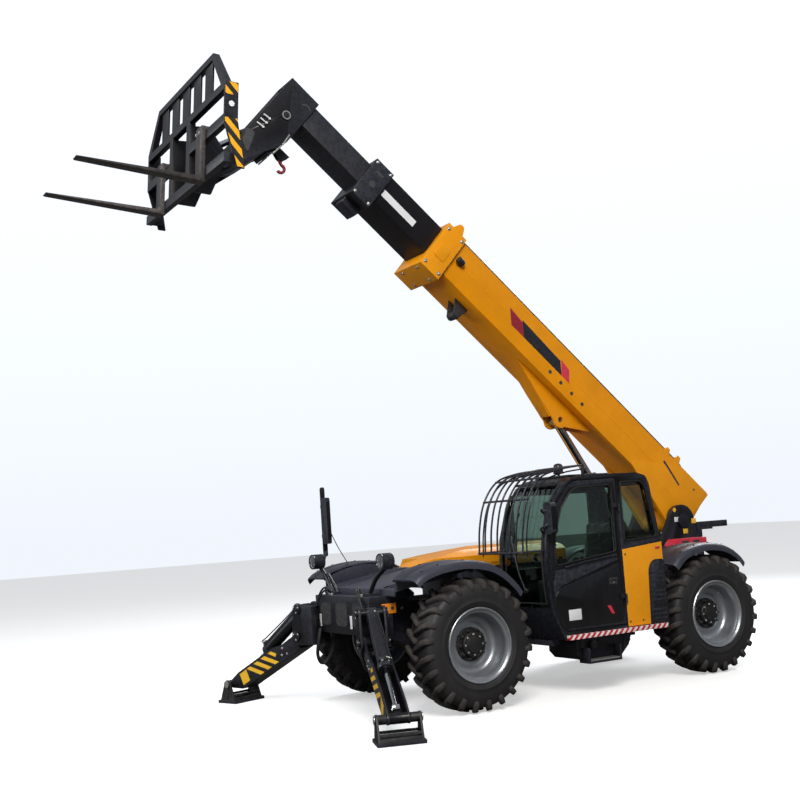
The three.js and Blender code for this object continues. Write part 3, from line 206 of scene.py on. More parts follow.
def stripe_group():
    """Two colours in bands square to a direction, one band of each to a pitch of one."""
    inputs = [("Direction", VECTOR, (1, 0, 0)), ("First", COLOR, WHITE), ("Second", COLOR, WHITE)]
    tree, enter, leave = group("slanted_bands", inputs, [("Color", COLOR)])
    coordinates = node(tree, "ShaderNodeTexCoord").outputs["Object"]
    along = node(tree, "ShaderNodeVectorMath", operation="DOT_PRODUCT")
    tree.links.new(coordinates, along.inputs[0])
    tree.links.new(enter.outputs["Direction"], along.inputs[1])
    part = node(tree, "ShaderNodeMath", operation="FRACT")
    tree.links.new(along.outputs["Value"], part.inputs[0])
    half = node(tree, "ShaderNodeMath", operation="GREATER_THAN")
    tree.links.new(part.outputs[0], half.inputs[0])
    half.inputs[1].default_value = 0.5
    tree.links.new(mix(tree, half.outputs[0], enter.outputs["First"], enter.outputs["Second"]), leave.inputs[0])
    return tree


SURFACE = surface_group()
BANDS = stripe_group()
materials = {}


def rgb(red, green, blue):
    """A linear colour from its values on screen, 0 to 255."""
    linear = [((c / 255 + 0.055) / 1.055) ** 2.4 if c > 10 else c / 3294.6 for c in (red, green, blue)]
    return (*linear, 1.0)


def new_material(name, metallic=0.0, coat=0.0, **sockets):
    material = bpy.data.materials.new(name)
    material.use_nodes = True
    shader = material.node_tree.nodes["Principled BSDF"]
    put(shader, Metallic=metallic, Coat_Weight=coat, **sockets)
    materials[name] = material
    return material, shader


def finish(name, base, edge, metallic=0.0, coat=0.0, sockets=None, **settings):
    """A material whose colour, roughness and grain come from the surface group."""
    material, shader = new_material(name, metallic, coat, **(sockets or {}))
    tree = material.node_tree
    surface = node(tree, "ShaderNodeGroup", (-300, 0), node_tree=SURFACE)
    put(surface, Base=base, Edge=edge, **settings)
    for output, socket in (("Color", "Base Color"), ("Roughness", "Roughness"), ("Normal", "Normal")):
        tree.links.new(surface.outputs[output], shader.inputs[socket])
    return material


def banded(name, direction, first, second, roughness=0.4):
    material, shader = new_material(name, Roughness=roughness)
    bands = put(node(material.node_tree, "ShaderNodeGroup", node_tree=BANDS), First=first, Second=second)
    bands.inputs["Direction"].default_value = direction
    material.node_tree.links.new(bands.outputs[0], shader.inputs["Base Color"])
    return material


# Each finish's second colour is its painted edge highlight: a lighter tone of its base, bluish on the blacks and the
# fender plastic, standing in for light caught by the edges.
YELLOW = rgb(240, 153, 0)
YELLOW_EDGE_HIGHLIGHT = rgb(240, 166, 40)
BLACK = rgb(17, 16, 21)
BLACK_EDGE_HIGHLIGHT = rgb(84, 88, 102)
SILVER = rgb(150, 154, 160)


def make_materials():
    finish("yellow_paint", YELLOW, YELLOW_EDGE_HIGHLIGHT, coat=0.12, Edge_Wear=0.5, Dust_Amount=0.05, Smooth=0.3, Rough=0.4,
           Grain_Scale=240.0, Grain_Depth=0.06, sockets={"Coat_Roughness": 0.12, "Specular_IOR_Level": 0.25})
    finish("black_paint", BLACK, BLACK_EDGE_HIGHLIGHT, coat=0.06, Edge_Wear=0.35, Dust_Amount=0.02, Smooth=0.3, Rough=0.46,
           Grain_Scale=260.0, Grain_Depth=0.08, sockets={"Coat_Roughness": 0.18, "Specular_IOR_Level": 0.3})
    finish("cab_black", rgb(12, 12, 15), BLACK_EDGE_HIGHLIGHT, coat=0.1, Edge_Wear=0.4, Dust_Amount=0.03, Smooth=0.2, Rough=0.34,
           Grain_Scale=300.0, Grain_Depth=0.04, sockets={"Coat_Roughness": 0.08, "Specular_IOR_Level": 0.3})
    finish("gloss_black", rgb(9, 9, 11), BLACK_EDGE_HIGHLIGHT, coat=0.3, Edge_Wear=0.2, Dust_Amount=0.03, Smooth=0.08, Rough=0.16,
           Grain_Scale=300.0, Grain_Depth=0.02, sockets={"Coat_Roughness": 0.03, "Specular_IOR_Level": 0.4})
    finish("fender_plastic", rgb(46, 47, 58), rgb(84, 90, 108), Edge_Wear=0.4, Dust_Amount=0.03, Smooth=0.34, Rough=0.5,
           Grain_Scale=900.0, Grain_Depth=0.25)
    finish("rubber", rgb(33, 31, 32), rgb(78, 72, 70), Edge_Wear=0.4, Dust_Amount=0.14, Smooth=0.7, Rough=0.92,
           Grain_Scale=500.0, Grain_Depth=0.3)
    finish("side_rubber", rgb(29, 28, 31), rgb(62, 60, 60), Edge_Wear=0.25, Dust_Amount=0.06, Smooth=0.5, Rough=0.7,
           Grain_Scale=600.0, Grain_Depth=0.2)
    finish("rim_silver", SILVER, rgb(214, 217, 220), metallic=0.75, coat=0.2, Edge_Wear=0.7, Dust_Amount=0.12,
           Smooth=0.26, Rough=0.42, Grain_Scale=500.0, Grain_Depth=0.08)
    # Dark cast iron; the same dark is also the painted shade of the stabilizer beam's pockets.
    finish("cast_iron_and_pocket_shade", rgb(19, 18, 21), rgb(86, 86, 88), metallic=0.2, Edge_Wear=0.5, Dust_Amount=0.08, Smooth=0.42,
           Rough=0.6, Grain_Scale=420.0, Grain_Depth=0.4)
    finish("chrome_rod", rgb(206, 209, 213), WHITE, metallic=1.0, Edge_Wear=0.2, Dust_Amount=0.05, Smooth=0.06,
           Rough=0.16, Grain_Scale=200.0, Grain_Depth=0.02)
    finish("zinc", rgb(172, 172, 168), rgb(226, 226, 222), metallic=0.9, Edge_Wear=0.6, Dust_Amount=0.1, Smooth=0.28,
           Rough=0.42, Grain_Scale=300.0, Grain_Depth=0.1)
    finish("fork_steel", rgb(26, 24, 28), rgb(104, 98, 98), metallic=0.35, Edge_Wear=0.8, Dust_Amount=0.14, Smooth=0.34,
           Rough=0.52, Grain_Scale=220.0, Grain_Depth=0.2)
    finish("red_paint", rgb(198, 16, 52), rgb(238, 90, 110), coat=0.3, Edge_Wear=0.4, Dust_Amount=0.05, Smooth=0.3,
           Rough=0.42, Grain_Scale=260.0, Grain_Depth=0.06)
    finish("dark_red", rgb(122, 16, 34), rgb(190, 50, 70), coat=0.2, Edge_Wear=0.4, Dust_Amount=0.05, Smooth=0.32,
           Rough=0.46, Grain_Scale=260.0, Grain_Depth=0.06)
    finish("white_film", rgb(226, 228, 232), WHITE, Edge_Wear=0.1, Dust_Amount=0.12, Smooth=0.3, Rough=0.4,
           Grain_Scale=700.0, Grain_Depth=0.05)
    finish("label_yellow", rgb(244, 186, 22), rgb(255, 220, 90), Edge_Wear=0.2, Dust_Amount=0.06, Smooth=0.34,
           Rough=0.44,
           Grain_Scale=500.0, Grain_Depth=0.04)
    finish("amber", rgb(232, 128, 14), rgb(255, 180, 70), coat=0.6, Edge_Wear=0.3, Dust_Amount=0.04, Smooth=0.16,
           Rough=0.26, Grain_Scale=200.0, Grain_Depth=0.05)
    finish("hose", rgb(15, 15, 16), rgb(52, 52, 54), Edge_Wear=0.2, Dust_Amount=0.03, Smooth=0.46, Rough=0.62,
           Grain_Scale=900.0, Grain_Depth=0.3)
    # Dark grey plastic of the cab's inside; the same dark grey is also the painted shade inside the holes and slots
    # drawn as flat plates.
    finish("inside_plastic_and_hole_shade", rgb(44, 45, 48), rgb(84, 86, 90), Edge_Wear=0.3, Dust_Amount=0.08, Smooth=0.5, Rough=0.66,
           Grain_Scale=1100.0, Grain_Depth=0.35)
    glass("cab_glass", rgb(196, 222, 210), 1.0)
    glass("lamp_glass", rgb(240, 246, 248), 0.95)
    cloth("seat_cloth")
    lamp_reflector("reflector")


def glass(name, tint, transmission):
    material, shader = new_material(name, Roughness=0.02, IOR=1.45, Alpha=1.0)
    put(shader, Transmission_Weight=transmission, Base_Color=tint, Specular_IOR_Level=0.6)
    tree = material.node_tree
    coordinates = node(tree, "ShaderNodeTexCoord").outputs["Object"]
    film = remap(tree, noise(tree, coordinates, 5.0), 0.45, 0.8, 0.0, 0.02)
    tree.links.new(film, shader.inputs["Roughness"])
    return material


def cloth(name):
    material, shader = new_material(name, Sheen_Weight=0.3, Sheen_Roughness=0.5)
    tree = material.node_tree
    coordinates = node(tree, "ShaderNodeTexCoord").outputs["Object"]
    weave = put(node(tree, "ShaderNodeTexVoronoi"), Scale=420.0)
    tree.links.new(coordinates, weave.inputs["Vector"])
    tone = mix(tree, remap(tree, weave.outputs["Distance"], 0.0, 0.6), rgb(24, 24, 26), rgb(48, 48, 52))
    tree.links.new(tone, shader.inputs["Base Color"])
    tree.links.new(remap(tree, noise(tree, coordinates, 8.0), 0.3, 0.7, 0.8, 0.95), shader.inputs["Roughness"])
    bump = put(node(tree, "ShaderNodeBump"), Strength=0.4, Distance=0.001)
    tree.links.new(weave.outputs["Distance"], bump.inputs["Height"])
    tree.links.new(bump.outputs[0], shader.inputs["Normal"])
    return material


def lamp_reflector(name):
    material, shader = new_material(name, 1.0)
    tree = material.node_tree
    coordinates = node(tree, "ShaderNodeTexCoord").outputs["Object"]
    facets = put(node(tree, "ShaderNodeTexVoronoi"), Scale=60.0)
    tree.links.new(coordinates, facets.inputs["Vector"])
    tone = mix(tree, facets.outputs["Distance"], rgb(236, 238, 240), rgb(150, 154, 160))
    tree.links.new(tone, shader.inputs["Base Color"])
    tree.links.new(remap(tree, facets.outputs["Distance"], 0.0, 1.0, 0.12, 0.3), shader.inputs["Roughness"])
    return material


# ---- meshes ----
def smooth_path(points, per_span=6, closed=False):
    """Points on a smooth curve through the given ones."""
    points = [Vector(p) for p in points]
    count = len(points)
    path = []
    for i in range(count if closed else count - 1):
        a = points[i]
        b = points[(i + 1) % count]
        before = points[i - 1] if closed or i > 0 else a
        after = points[(i + 2) % count] if closed or i + 2 < count else b
        span = (b - a).length
        lead = (b - before).normalized() * span / 3
        trail = (after - a).normalized() * span / 3
        path += interpolate_bezier(a, a + lead, b - trail, b, per_span + 1)[:-1]
    return path if closed else [*path, points[-1]]


def rounded(points, radius, steps=4):
    """A closed outline in two dimensions with its corners rounded."""
    outline = []
    for i, corner in enumerate(points):
        corner = Vector(corner)
        before = Vector(points[i - 1]) - corner
        after = Vector(points[(i + 1) % len(points)]) - corner
        reach = min(radius, before.length * 0.48, after.length * 0.48)
        start = corner + before.normalized() * reach
        end = corner + after.normalized() * reach
        for j in range(steps + 1):
            t = j / steps
            outline.append(start * (1 - t) ** 2 + corner * 2 * t * (1 - t) + end * t**2)
    return outline


class Mesh:
    """Shapes gathered in one bmesh, in a local frame."""

    def __init__(self):
        self.bm = bmesh.new()

    def box(self, low, high, matrix=None):
        size = Vector(high) - Vector(low)
        middle = (Vector(high) + Vector(low)) / 2
        where = Matrix.Translation(middle) @ Matrix.Diagonal((*size, 1))
        bmesh.ops.create_cube(self.bm, size=1, matrix=(matrix or IDENTITY) @ where)
        return self

    def bar(self, start, end, radius, sides=32, end_radius=None):
        """A round bar between two points, or a cone with a second radius."""
        start, end = Vector(start), Vector(end)
        turn = (end - start).to_track_quat("Z", "Y").to_matrix().to_4x4()
        where = Matrix.Translation((start + end) / 2) @ turn
        second = radius if end_radius is None else end_radius
        bmesh.ops.create_cone(self.bm, cap_ends=True, segments=sides, radius1=radius, radius2=second,
                              depth=(end - start).length, matrix=where)
        return self

    def loft(self, rings, closed_ends=True, loop=False):
        """Faces between rings of the same number of points."""
        loops = [[self.bm.verts.new(p) for p in ring] for ring in rings]
        count = len(loops[0])
        pairs = zip(loops, loops[1:] + ([loops[0]] if loop else []))
        for a, b in pairs:
            for i in range(count):
                j = (i + 1) % count
                self.bm.faces.new((a[i], a[j], b[j], b[i]))
        if closed_ends and not loop:
            self.bm.faces.new(loops[0][::-1])
            self.bm.faces.new(loops[-1])
        return self

    def tube(self, points, radius, sides=10, per_span=6, closed=False):
        """A round tube along a smooth curve through the points."""
        path = smooth_path(points, per_span, closed) if per_span else [Vector(p) for p in points]
        up = Vector((0.03, 0.07, 1)).normalized()
        rings = []
        for i, p in enumerate(path):
            ahead = path[(i + 1) % len(path)] if closed or i + 1 < len(path) else p
            behind = path[i - 1] if closed or i > 0 else p
            tangent = (ahead - behind).normalized()
            side = tangent.cross(up)
            side = side.normalized() if side.length > 0.05 else tangent.cross(Vector((0, 1, 0))).normalized()
            rise = side.cross(tangent)
            up = rise
            angles = [2 * math.pi * k / sides for k in range(sides)]
            rings.append([p + (side * math.cos(a) + rise * math.sin(a)) * radius for a in angles])
        return self.loft(rings, loop=closed)

    def plate(self, outline, low, high, plane="xz"):
        """An outline in a plane, made solid between two places on the third axis."""
        def corner(a, b, c):
            return {"xz": (a, c, b), "yz": (c, a, b), "xy": (a, b, c)}[plane]
        rings = [[corner(*p, c) for p in outline] for c in (low, high)]
        return self.loft(rings)

    def lathe(self, profile, sides=64, axis="y"):
        """A closed profile of radius and distance along the axis, turned round it."""
        rings = []
        for k in range(sides):
            a = 2 * math.pi * k / sides
            c, s = math.cos(a), math.sin(a)
            if axis == "y":
                rings.append([(r * c, t, r * s) for r, t in profile])
            elif axis == "x":
                rings.append([(t, r * c, r * s) for r, t in profile])
            else:
                rings.append([(r * c, r * s, t) for r, t in profile])
        return self.loft(rings, loop=True)

    def bevel(self, width, angle=30, segments=2):
        self.tidy()
        sharp = [e for e in self.bm.edges if len(e.link_faces) == 2 and e.calc_face_angle(0) > math.radians(angle)]
        sharp = [e for e in sharp if e.calc_length() > 2.2 * width]
        if sharp and width:
            bmesh.ops.bevel(self.bm, geom=sharp, offset=width, segments=segments, profile=0.6,
                            affect="EDGES", clamp_overlap=True)
        return self

    def tidy(self):
        bmesh.ops.remove_doubles(self.bm, verts=self.bm.verts, dist=1e-5)
        bmesh.ops.dissolve_degenerate(self.bm, edges=self.bm.edges, dist=1e-6)
        bmesh.ops.recalc_face_normals(self.bm, faces=self.bm.faces)
        return self

    def data(self, name, matrix=IDENTITY):
        mesh = bpy.data.meshes.new(name)
        self.bm.to_mesh(mesh)
        self.bm.free()
        mesh.transform(matrix)
        if matrix.determinant() < 0:
            mesh.flip_normals()
        return mesh


def shade(mesh, angle=38):
    mesh.polygons.foreach_set("use_smooth", [True] * len(mesh.polygons))
    mesh.set_sharp_from_angle(angle=math.radians(angle))


def piece(name, mesh, body, material, slot=None, replaces=(), smooth=38):
    """A finished mesh, in the row frame, as a piece that rides on a body."""
    obj = bpy.data.objects.new(name, mesh)
    bpy.context.scene.collection.objects.link(obj)
    mesh.materials.clear()
    mesh.materials.append(materials[material])
    shade(mesh, smooth)
    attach(obj, body)
    if replaces:
        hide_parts(*replaces)
    return obj


def made(name, shape, body, material, at=MACHINE, bevel=0.004, segments=2, **more):
    """A Mesh with its edges rounded, put at a place and made a piece."""
    shape.bevel(bevel, segments=segments)
    return piece(name, shape.data(name, at), body, material, **more)


def refined(cad_node, material, bevel=0.005, name=None, segments=2, cleared=None):
    """A CAD node's own shape with its flats merged and its edges rounded."""
    shape = Mesh()
    shape.bm.from_mesh(frame["nodes"][cad_node].data)
    bmesh.ops.remove_doubles(shape.bm, verts=shape.bm.verts, dist=2e-5)
    if cleared:
        gone = [f for f in shape.bm.faces if cleared(f.calc_center_median())]
        bmesh.ops.delete(shape.bm, geom=gone, context="FACES")
    bmesh.ops.dissolve_limit(shape.bm, angle_limit=math.radians(2), verts=shape.bm.verts, edges=shape.bm.edges)
    shape.bevel(bevel, segments=segments)
    return piece(name or f"{cad_node}_finished", shape.data(cad_node), body_of_node[cad_node], material,
                 slot=slot_of_node[cad_node], replaces=(cad_node,))


# ---- geometry nodes ----
def geometry_tree(name, inputs):
    tree = bpy.data.node_groups.new(name, "GeometryNodeTree")
    tree.interface.new_socket("Geometry", in_out="OUTPUT", socket_type="NodeSocketGeometry")
    tree.interface.new_socket("Geometry", in_out="INPUT", socket_type="NodeSocketGeometry")
    for label, kind in inputs:
        tree.interface.new_socket(label, in_out="INPUT", socket_type=kind)
    return tree, tree.nodes.new("NodeGroupInput"), tree.nodes.new("NodeGroupOutput")


def realized(tree, enter, leave, instances):
    solid = tree.nodes.new("GeometryNodeRealizeInstances")
    paint = tree.nodes.new("GeometryNodeSetMaterial")
    tree.links.new(instances, solid.inputs[0])
    tree.links.new(solid.outputs[0], paint.inputs["Geometry"])
    tree.links.new(enter.outputs["Material"], paint.inputs["Material"])
    tree.links.new(paint.outputs[0], leave.inputs[0])


def ring_tree():
    """Copies of a piece turned about the Y axis."""
    inputs = [("Piece", "NodeSocketObject"), ("Count", "NodeSocketInt"), ("Material", "NodeSocketMaterial")]
    tree, enter, leave = geometry_tree("ring_of_pieces", inputs)
    links = tree.links
    points = tree.nodes.new("GeometryNodePoints")
    links.new(enter.outputs["Count"], points.inputs["Count"])
    index = tree.nodes.new("GeometryNodeInputIndex")
    step = node(tree, "ShaderNodeMath", operation="DIVIDE")
    step.inputs[0].default_value = 2 * math.pi
    links.new(enter.outputs["Count"], step.inputs[1])
    turn = node(tree, "ShaderNodeMath", operation="MULTIPLY")
    links.new(index.outputs[0], turn.inputs[0])
    links.new(step.outputs[0], turn.inputs[1])
    euler = tree.nodes.new("ShaderNodeCombineXYZ")
    links.new(turn.outputs[0], euler.inputs["Y"])
    source = tree.nodes.new("GeometryNodeObjectInfo")
    links.new(enter.outputs["Piece"], source.inputs[0])
    copies = tree.nodes.new("GeometryNodeInstanceOnPoints")
    links.new(points.outputs[0], copies.inputs["Points"])
    links.new(source.outputs["Geometry"], copies.inputs["Instance"])
    links.new(euler.outputs[0], copies.inputs["Rotation"])
    realized(tree, enter, leave, copies.outputs[0])
    return tree


def scatter_tree():
    """Copies of a piece at a mesh's points, with its Z axis along each point's facing."""
    inputs = [("Piece", "NodeSocketObject"), ("Size", "NodeSocketFloat"), ("Material", "NodeSocketMaterial")]
    tree, enter, leave = geometry_tree("pieces_at_points", inputs)
    links = tree.links
    facing = node(tree, "GeometryNodeInputNamedAttribute", data_type="FLOAT_VECTOR")
    facing.inputs["Name"].default_value = "facing"
    aim = node(tree, "FunctionNodeAlignRotationToVector", axis="Z")
    links.new(facing.outputs["Attribute"], aim.inputs["Vector"])
    source = tree.nodes.new("GeometryNodeObjectInfo")
    links.new(enter.outputs["Piece"], source.inputs[0])
    copies = tree.nodes.new("GeometryNodeInstanceOnPoints")
    links.new(enter.outputs["Geometry"], copies.inputs["Points"])
    links.new(source.outputs["Geometry"], copies.inputs["Instance"])
    links.new(aim.outputs[0], copies.inputs["Rotation"])
    links.new(enter.outputs["Size"], copies.inputs["Scale"])
    realized(tree, enter, leave, copies.outputs[0])
    return tree


RING = ring_tree()
SCATTER = scatter_tree()


def evaluated(obj, tree, **inputs):
    """The mesh that a geometry tree makes of an object, with its inputs set by name."""
    modifier = obj.modifiers.new("made", "NODES")
    modifier.node_group = tree
    ids = {item.name: item.identifier for item in tree.interface.items_tree if item.in_out == "INPUT"}
    for name, value in inputs.items():
        modifier[ids[name]] = value
    bpy.context.view_layer.update()
    mesh = bpy.data.meshes.new_from_object(obj.evaluated_get(bpy.context.evaluated_depsgraph_get()))
    bpy.data.objects.remove(obj)
    return mesh


def loose(name, mesh):
    obj = bpy.data.objects.new(name, mesh)
    bpy.context.scene.collection.objects.link(obj)
    return obj


def ring_of(shape, count, material):
    """The mesh of a shape repeated round the Y axis."""
    source = loose("source", shape.tidy().data("source"))
    mesh = evaluated(loose("ring", bpy.data.meshes.new("ring")), RING, Piece=source, Count=count,
                     Material=materials[material])
    bpy.data.objects.remove(source)
    return mesh


def scattered(name, shape, spots, body, material, size=1.0, **more):
    """One piece of a small shape repeated at spots, each a row-frame point and the way it faces."""
    source = loose("source", shape.tidy().data("source"))
    mesh = bpy.data.meshes.new(name)
    mesh.from_pydata([spot[0] for spot in spots], [], [])
    facing = mesh.attributes.new("facing", "FLOAT_VECTOR", "POINT")
    facing.data.foreach_set("vector", [value for spot in spots for value in spot[1]])
    result = evaluated(loose("points", mesh), SCATTER, Piece=source, Size=size, Material=materials[material])
    bpy.data.objects.remove(source)
    return piece(name, result, body, material, **more)


def spot(at, point, facing):
    """A point and a direction of a local frame, in the row frame."""
    return (tuple(at @ Vector(point)), tuple((at.to_3x3() @ Vector(facing)).normalized()))


def bolt(radius=0.011, height=0.009):
    """A hexagon bolt head on its washer, standing on its Z axis."""
    shape = Mesh().bar((0, 0, 0), (0, 0, height * 0.25), radius * 1.35, 20)
    shape.bar((0, 0, height * 0.25), (0, 0, height), radius, 6)
    shape.bar((0, 0, height), (0, 0, height * 1.15), radius * 0.8, 6, radius * 0.55)
    return shape


def moved_mesh(mesh, matrix):
    mesh.transform(matrix)
    if matrix.determinant() < 0:
        mesh.flip_normals()
    return mesh


def mirrored(side):
    return Matrix.Diagonal((1, side, 1, 1))


# ---- wheels ----
LUGS = 24
# Across, radius, lean of the height outwards, turn in degrees, width at the base and top, height
LUG_PATH = [
    (-0.016, 0.584, 0, 0.0, 0.046, 0.034, 0.043),
    (0.050, 0.584, 0, 3.4, 0.060, 0.044, 0.043),
    (0.112, 0.581, 4, 6.8, 0.068, 0.050, 0.043),
    (0.158, 0.572, 25, 8.8, 0.070, 0.052, 0.041),
    (0.176, 0.548, 60, 9.4, 0.062, 0.047, 0.024),
    (0.189, 0.512, 80, 9.6, 0.048, 0.036, 0.010),
]
CARCASS = [
    (0.318, 0.160), (0.350, 0.168), (0.358, 0.184), (0.382, 0.193), (0.396, 0.195), (0.401, 0.199), (0.409, 0.199),
    (0.414, 0.196), (0.450, 0.198), (0.492, 0.195), (0.532, 0.186), (0.560, 0.173), (0.576, 0.150), (0.583, 0.100),
    (0.585, 0.035),
]
RIM_FACE = [
    (0.300, 0.128), (0.306, 0.150), (0.322, 0.158), (0.346, 0.166), (0.352, 0.176), (0.352, 0.190), (0.346, 0.196),
    (0.337, 0.194), (0.326, 0.181), (0.318, 0.176), (0.306, 0.173), (0.300, 0.163), (0.292, 0.130), (0.289, 0.085),
    (0.280, 0.045), (0.262, 0.018), (0.236, 0.006), (0.212, 0.006), (0.200, 0.012), (0.180, 0.012), (0.112, 0.012),
]
HUB = [
    (0.0, 0.0), (0.160, 0.010), (0.160, 0.030), (0.152, 0.036), (0.122, 0.038), (0.118, 0.046), (0.118, 0.070),
    (0.110, 0.080), (0.078, 0.082), (0.074, 0.087), (0.074, 0.092), (0.0, 0.092),
]
WHEEL_STUDS = 10


def tread_lug(mirror, stagger):
    rings = []
    for across, radius, lean, turn, base, top, height in LUG_PATH:
        ring = []
        for rise, width in ((-0.006, -base), (-0.006, base), (height, top), (height, -top)):
            r = radius + rise * math.cos(math.radians(lean))
            y = (across + rise * math.sin(math.radians(lean))) * mirror
            t = math.radians(turn + stagger) + width / 2 / r
            ring.append((r * math.cos(t), y, r * math.sin(t)))
        rings.append(ring)
    return Mesh().loft(rings).bevel(0.005, segments=1)


def stud_on_y(radius, place_radius, low, high):
    """A stud with its nut, along Y at a radius."""
    shape = Mesh().bar((place_radius, low, 0), (place_radius, low + (high - low) * 0.12, 0), radius * 1.5, 16)
    shape.bar((place_radius, low, 0), (place_radius, low + (high - low) * 0.6, 0), radius * 1.1, 6)
    return shape.bar((place_radius, low, 0), (place_radius, high, 0), radius * 0.55, 10, radius * 0.45)


def wheel(end, hand):
    name = f"{end}_{hand}"
    at = Matrix.Translation(joint_at(f"spin_{name}")) @ mirrored(SIDES[hand])
    body = f"wheel_{name}"
    outer = [*CARCASS, *[(r, -t) for r, t in reversed(CARCASS)]]
    made(f"tyre_carcass_{name}", Mesh().lathe(outer, 96), body, "side_rubber", at, 0, slot="tyre", smooth=60,
         replaces=(f"tyre_{name}",))
    tread = bmesh.new()
    for mirror, stagger in ((1, 0.0), (-1, 180 / LUGS)):
        tread.from_mesh(ring_of(tread_lug(mirror, stagger), LUGS, "rubber"))
    mesh = bpy.data.meshes.new(f"tread_{name}")
    tread.to_mesh(mesh)
    tread.free()
    bm = bmesh.new()
    bm.from_mesh(moved_mesh(mesh, at))
    bmesh.ops.recalc_face_normals(bm, faces=bm.faces)
    bm.to_mesh(mesh)
    bm.free()
    piece(f"tread_{name}", mesh, body, "rubber", slot="tyre", smooth=50)
    back = [(r, -t) for r, t in reversed(RIM_FACE[:9])]
    inside = [(0.300, -0.120), (0.294, -0.030), (0.262, -0.012), (0.112, -0.012)]
    rim = Mesh().lathe([*RIM_FACE, *reversed(inside), *back], 96)
    made(f"rim_dish_{name}", rim, body, "rim_silver", at, 0, slot="wheel_silver", smooth=32, replaces=(f"rim_{name}",))
    hub = Mesh().lathe(HUB, 64)
    made(f"hub_{name}", hub, body, "cast_iron_and_pocket_shade", at, 0.002, smooth=30)
    studs = moved_mesh(ring_of(stud_on_y(0.014, 0.140, 0.034, 0.074), WHEEL_STUDS, "cast_iron_and_pocket_shade"), at)
    piece(f"wheel_studs_{name}", studs, body, "cast_iron_and_pocket_shade", smooth=30)
    screws = moved_mesh(ring_of(stud_on_y(0.008, 0.095, 0.080, 0.090), 8, "zinc"), at)
    piece(f"hub_screws_{name}", screws, body, "zinc", smooth=30)
    valve = Mesh().bar((0.262, 0.012, 0), (0.262, 0.05, 0), 0.006, 10)
    valve.bar((0.262, 0.05, 0), (0.262, 0.062, 0), 0.008, 10)
    made(f"valve_{name}", valve, body, "zinc", at, 0.001)


# ---- chassis ----
FENDER_INNER, FENDER_OUTER = 0.735, 1.172
FRONT_FENDER = [
    (0.672, 1.292), (0.560, 1.352), (0.380, 1.402), (0.100, 1.425), (-0.160, 1.386), (-0.330, 1.305), (-0.450, 1.205),
    (-0.552, 1.098),
]
REAR_FENDER = [
    (0.560, 1.200), (0.400, 1.310), (0.200, 1.366), (0.0, 1.380), (-0.200, 1.348), (-0.365, 1.270), (-0.494, 1.160),
]
# Across from the inner edge and down from the top, then back along the underside
FENDER_SECTION = [
    (0.0, -0.030), (0.0, -0.008), (0.010, 0.0), (0.060, 0.003), (0.190, 0.004), (0.205, -0.004), (0.235, -0.004),
    (0.250, 0.004), (0.350, 0.002), (0.392, -0.006), (0.418, -0.020), (0.432, -0.042), (0.437, -0.070), (0.437, -0.082),
    (0.429, -0.082), (0.427, -0.062), (0.416, -0.040), (0.398, -0.026), (0.360, -0.016), (0.060, -0.015),
    (0.012, -0.016), (0.008, -0.030),
]


def fender_shell(points, axle, side):
    path = [Vector((axle + x, 0, z)) for x, z in points]
    first = path[0] + (path[0] - path[1]).normalized() * 0.004
    path = smooth_path([first, *path[1:]], 5)
    rings = []
    for i, p in enumerate(path):
        ahead = path[min(i + 1, len(path) - 1)]
        behind = path[max(i - 1, 0)]
        along = (behind - ahead).normalized()
        up = Vector((-along.z, 0, along.x))
        up = up if up.z > 0 else -up
        end = min(i, len(path) - 1 - i)
        droop = 0.010 * max(0, 2 - end) / 2
        ring = []
        for across, rise in FENDER_SECTION:
            ring.append(p + up * (rise - droop) + Vector((0, side * (FENDER_INNER + across), 0)))
        rings.append(ring)
    return Mesh().loft(rings)


def fenders():
    for hand, side in SIDES.items():
        shape = fender_shell(FRONT_FENDER, 0.0, side)
        made(f"front_fender_{hand}", shape, "chassis", "fender_plastic", bevel=0.0, slot="plastic", smooth=50)
        shape = fender_shell(REAR_FENDER, REAR_AXLE, side)
        for x in (REAR_AXLE - 0.12, REAR_AXLE + 0.10):
            low, high = sorted((side * 0.3403, side * 0.775))
            shape.box((x, low, 1.330), (x + 0.02, high, 1.352))
        low, high = sorted((side * 0.3403, side * 0.775))
        shape.box((REAR_AXLE - 0.12, low, 1.344), (REAR_AXLE + 0.12, high, 1.352))
        low, high = sorted((side * 0.3403, side * 0.3643))
        shape.box((REAR_AXLE - 0.12, low, 1.060), (REAR_AXLE + 0.12, high, 1.352))
        made(f"rear_fender_shell_{hand}", shape, "chassis", "fender_plastic", bevel=0.0, slot="plastic", smooth=50,
             replaces=(f"rear_fender_{hand}",))
        spots = []
        for fender, axle in ((FRONT_FENDER, 0.0), (REAR_FENDER, REAR_AXLE)):
            for x, z in fender[1:-1]:
                for y in (FENDER_INNER + 0.030, FENDER_OUTER - 0.070):
                    spots.append(spot(MACHINE, (axle + x, side * y, z + 0.002), (x * 0.4, 0, 1)))
        scattered(f"fender_screws_{hand}", bolt(0.008, 0.005), spots, "chassis", "cast_iron_and_pocket_shade", smooth=30)


def deck_height(x):
    return 1.165 + (0.650 - x) * 0.165


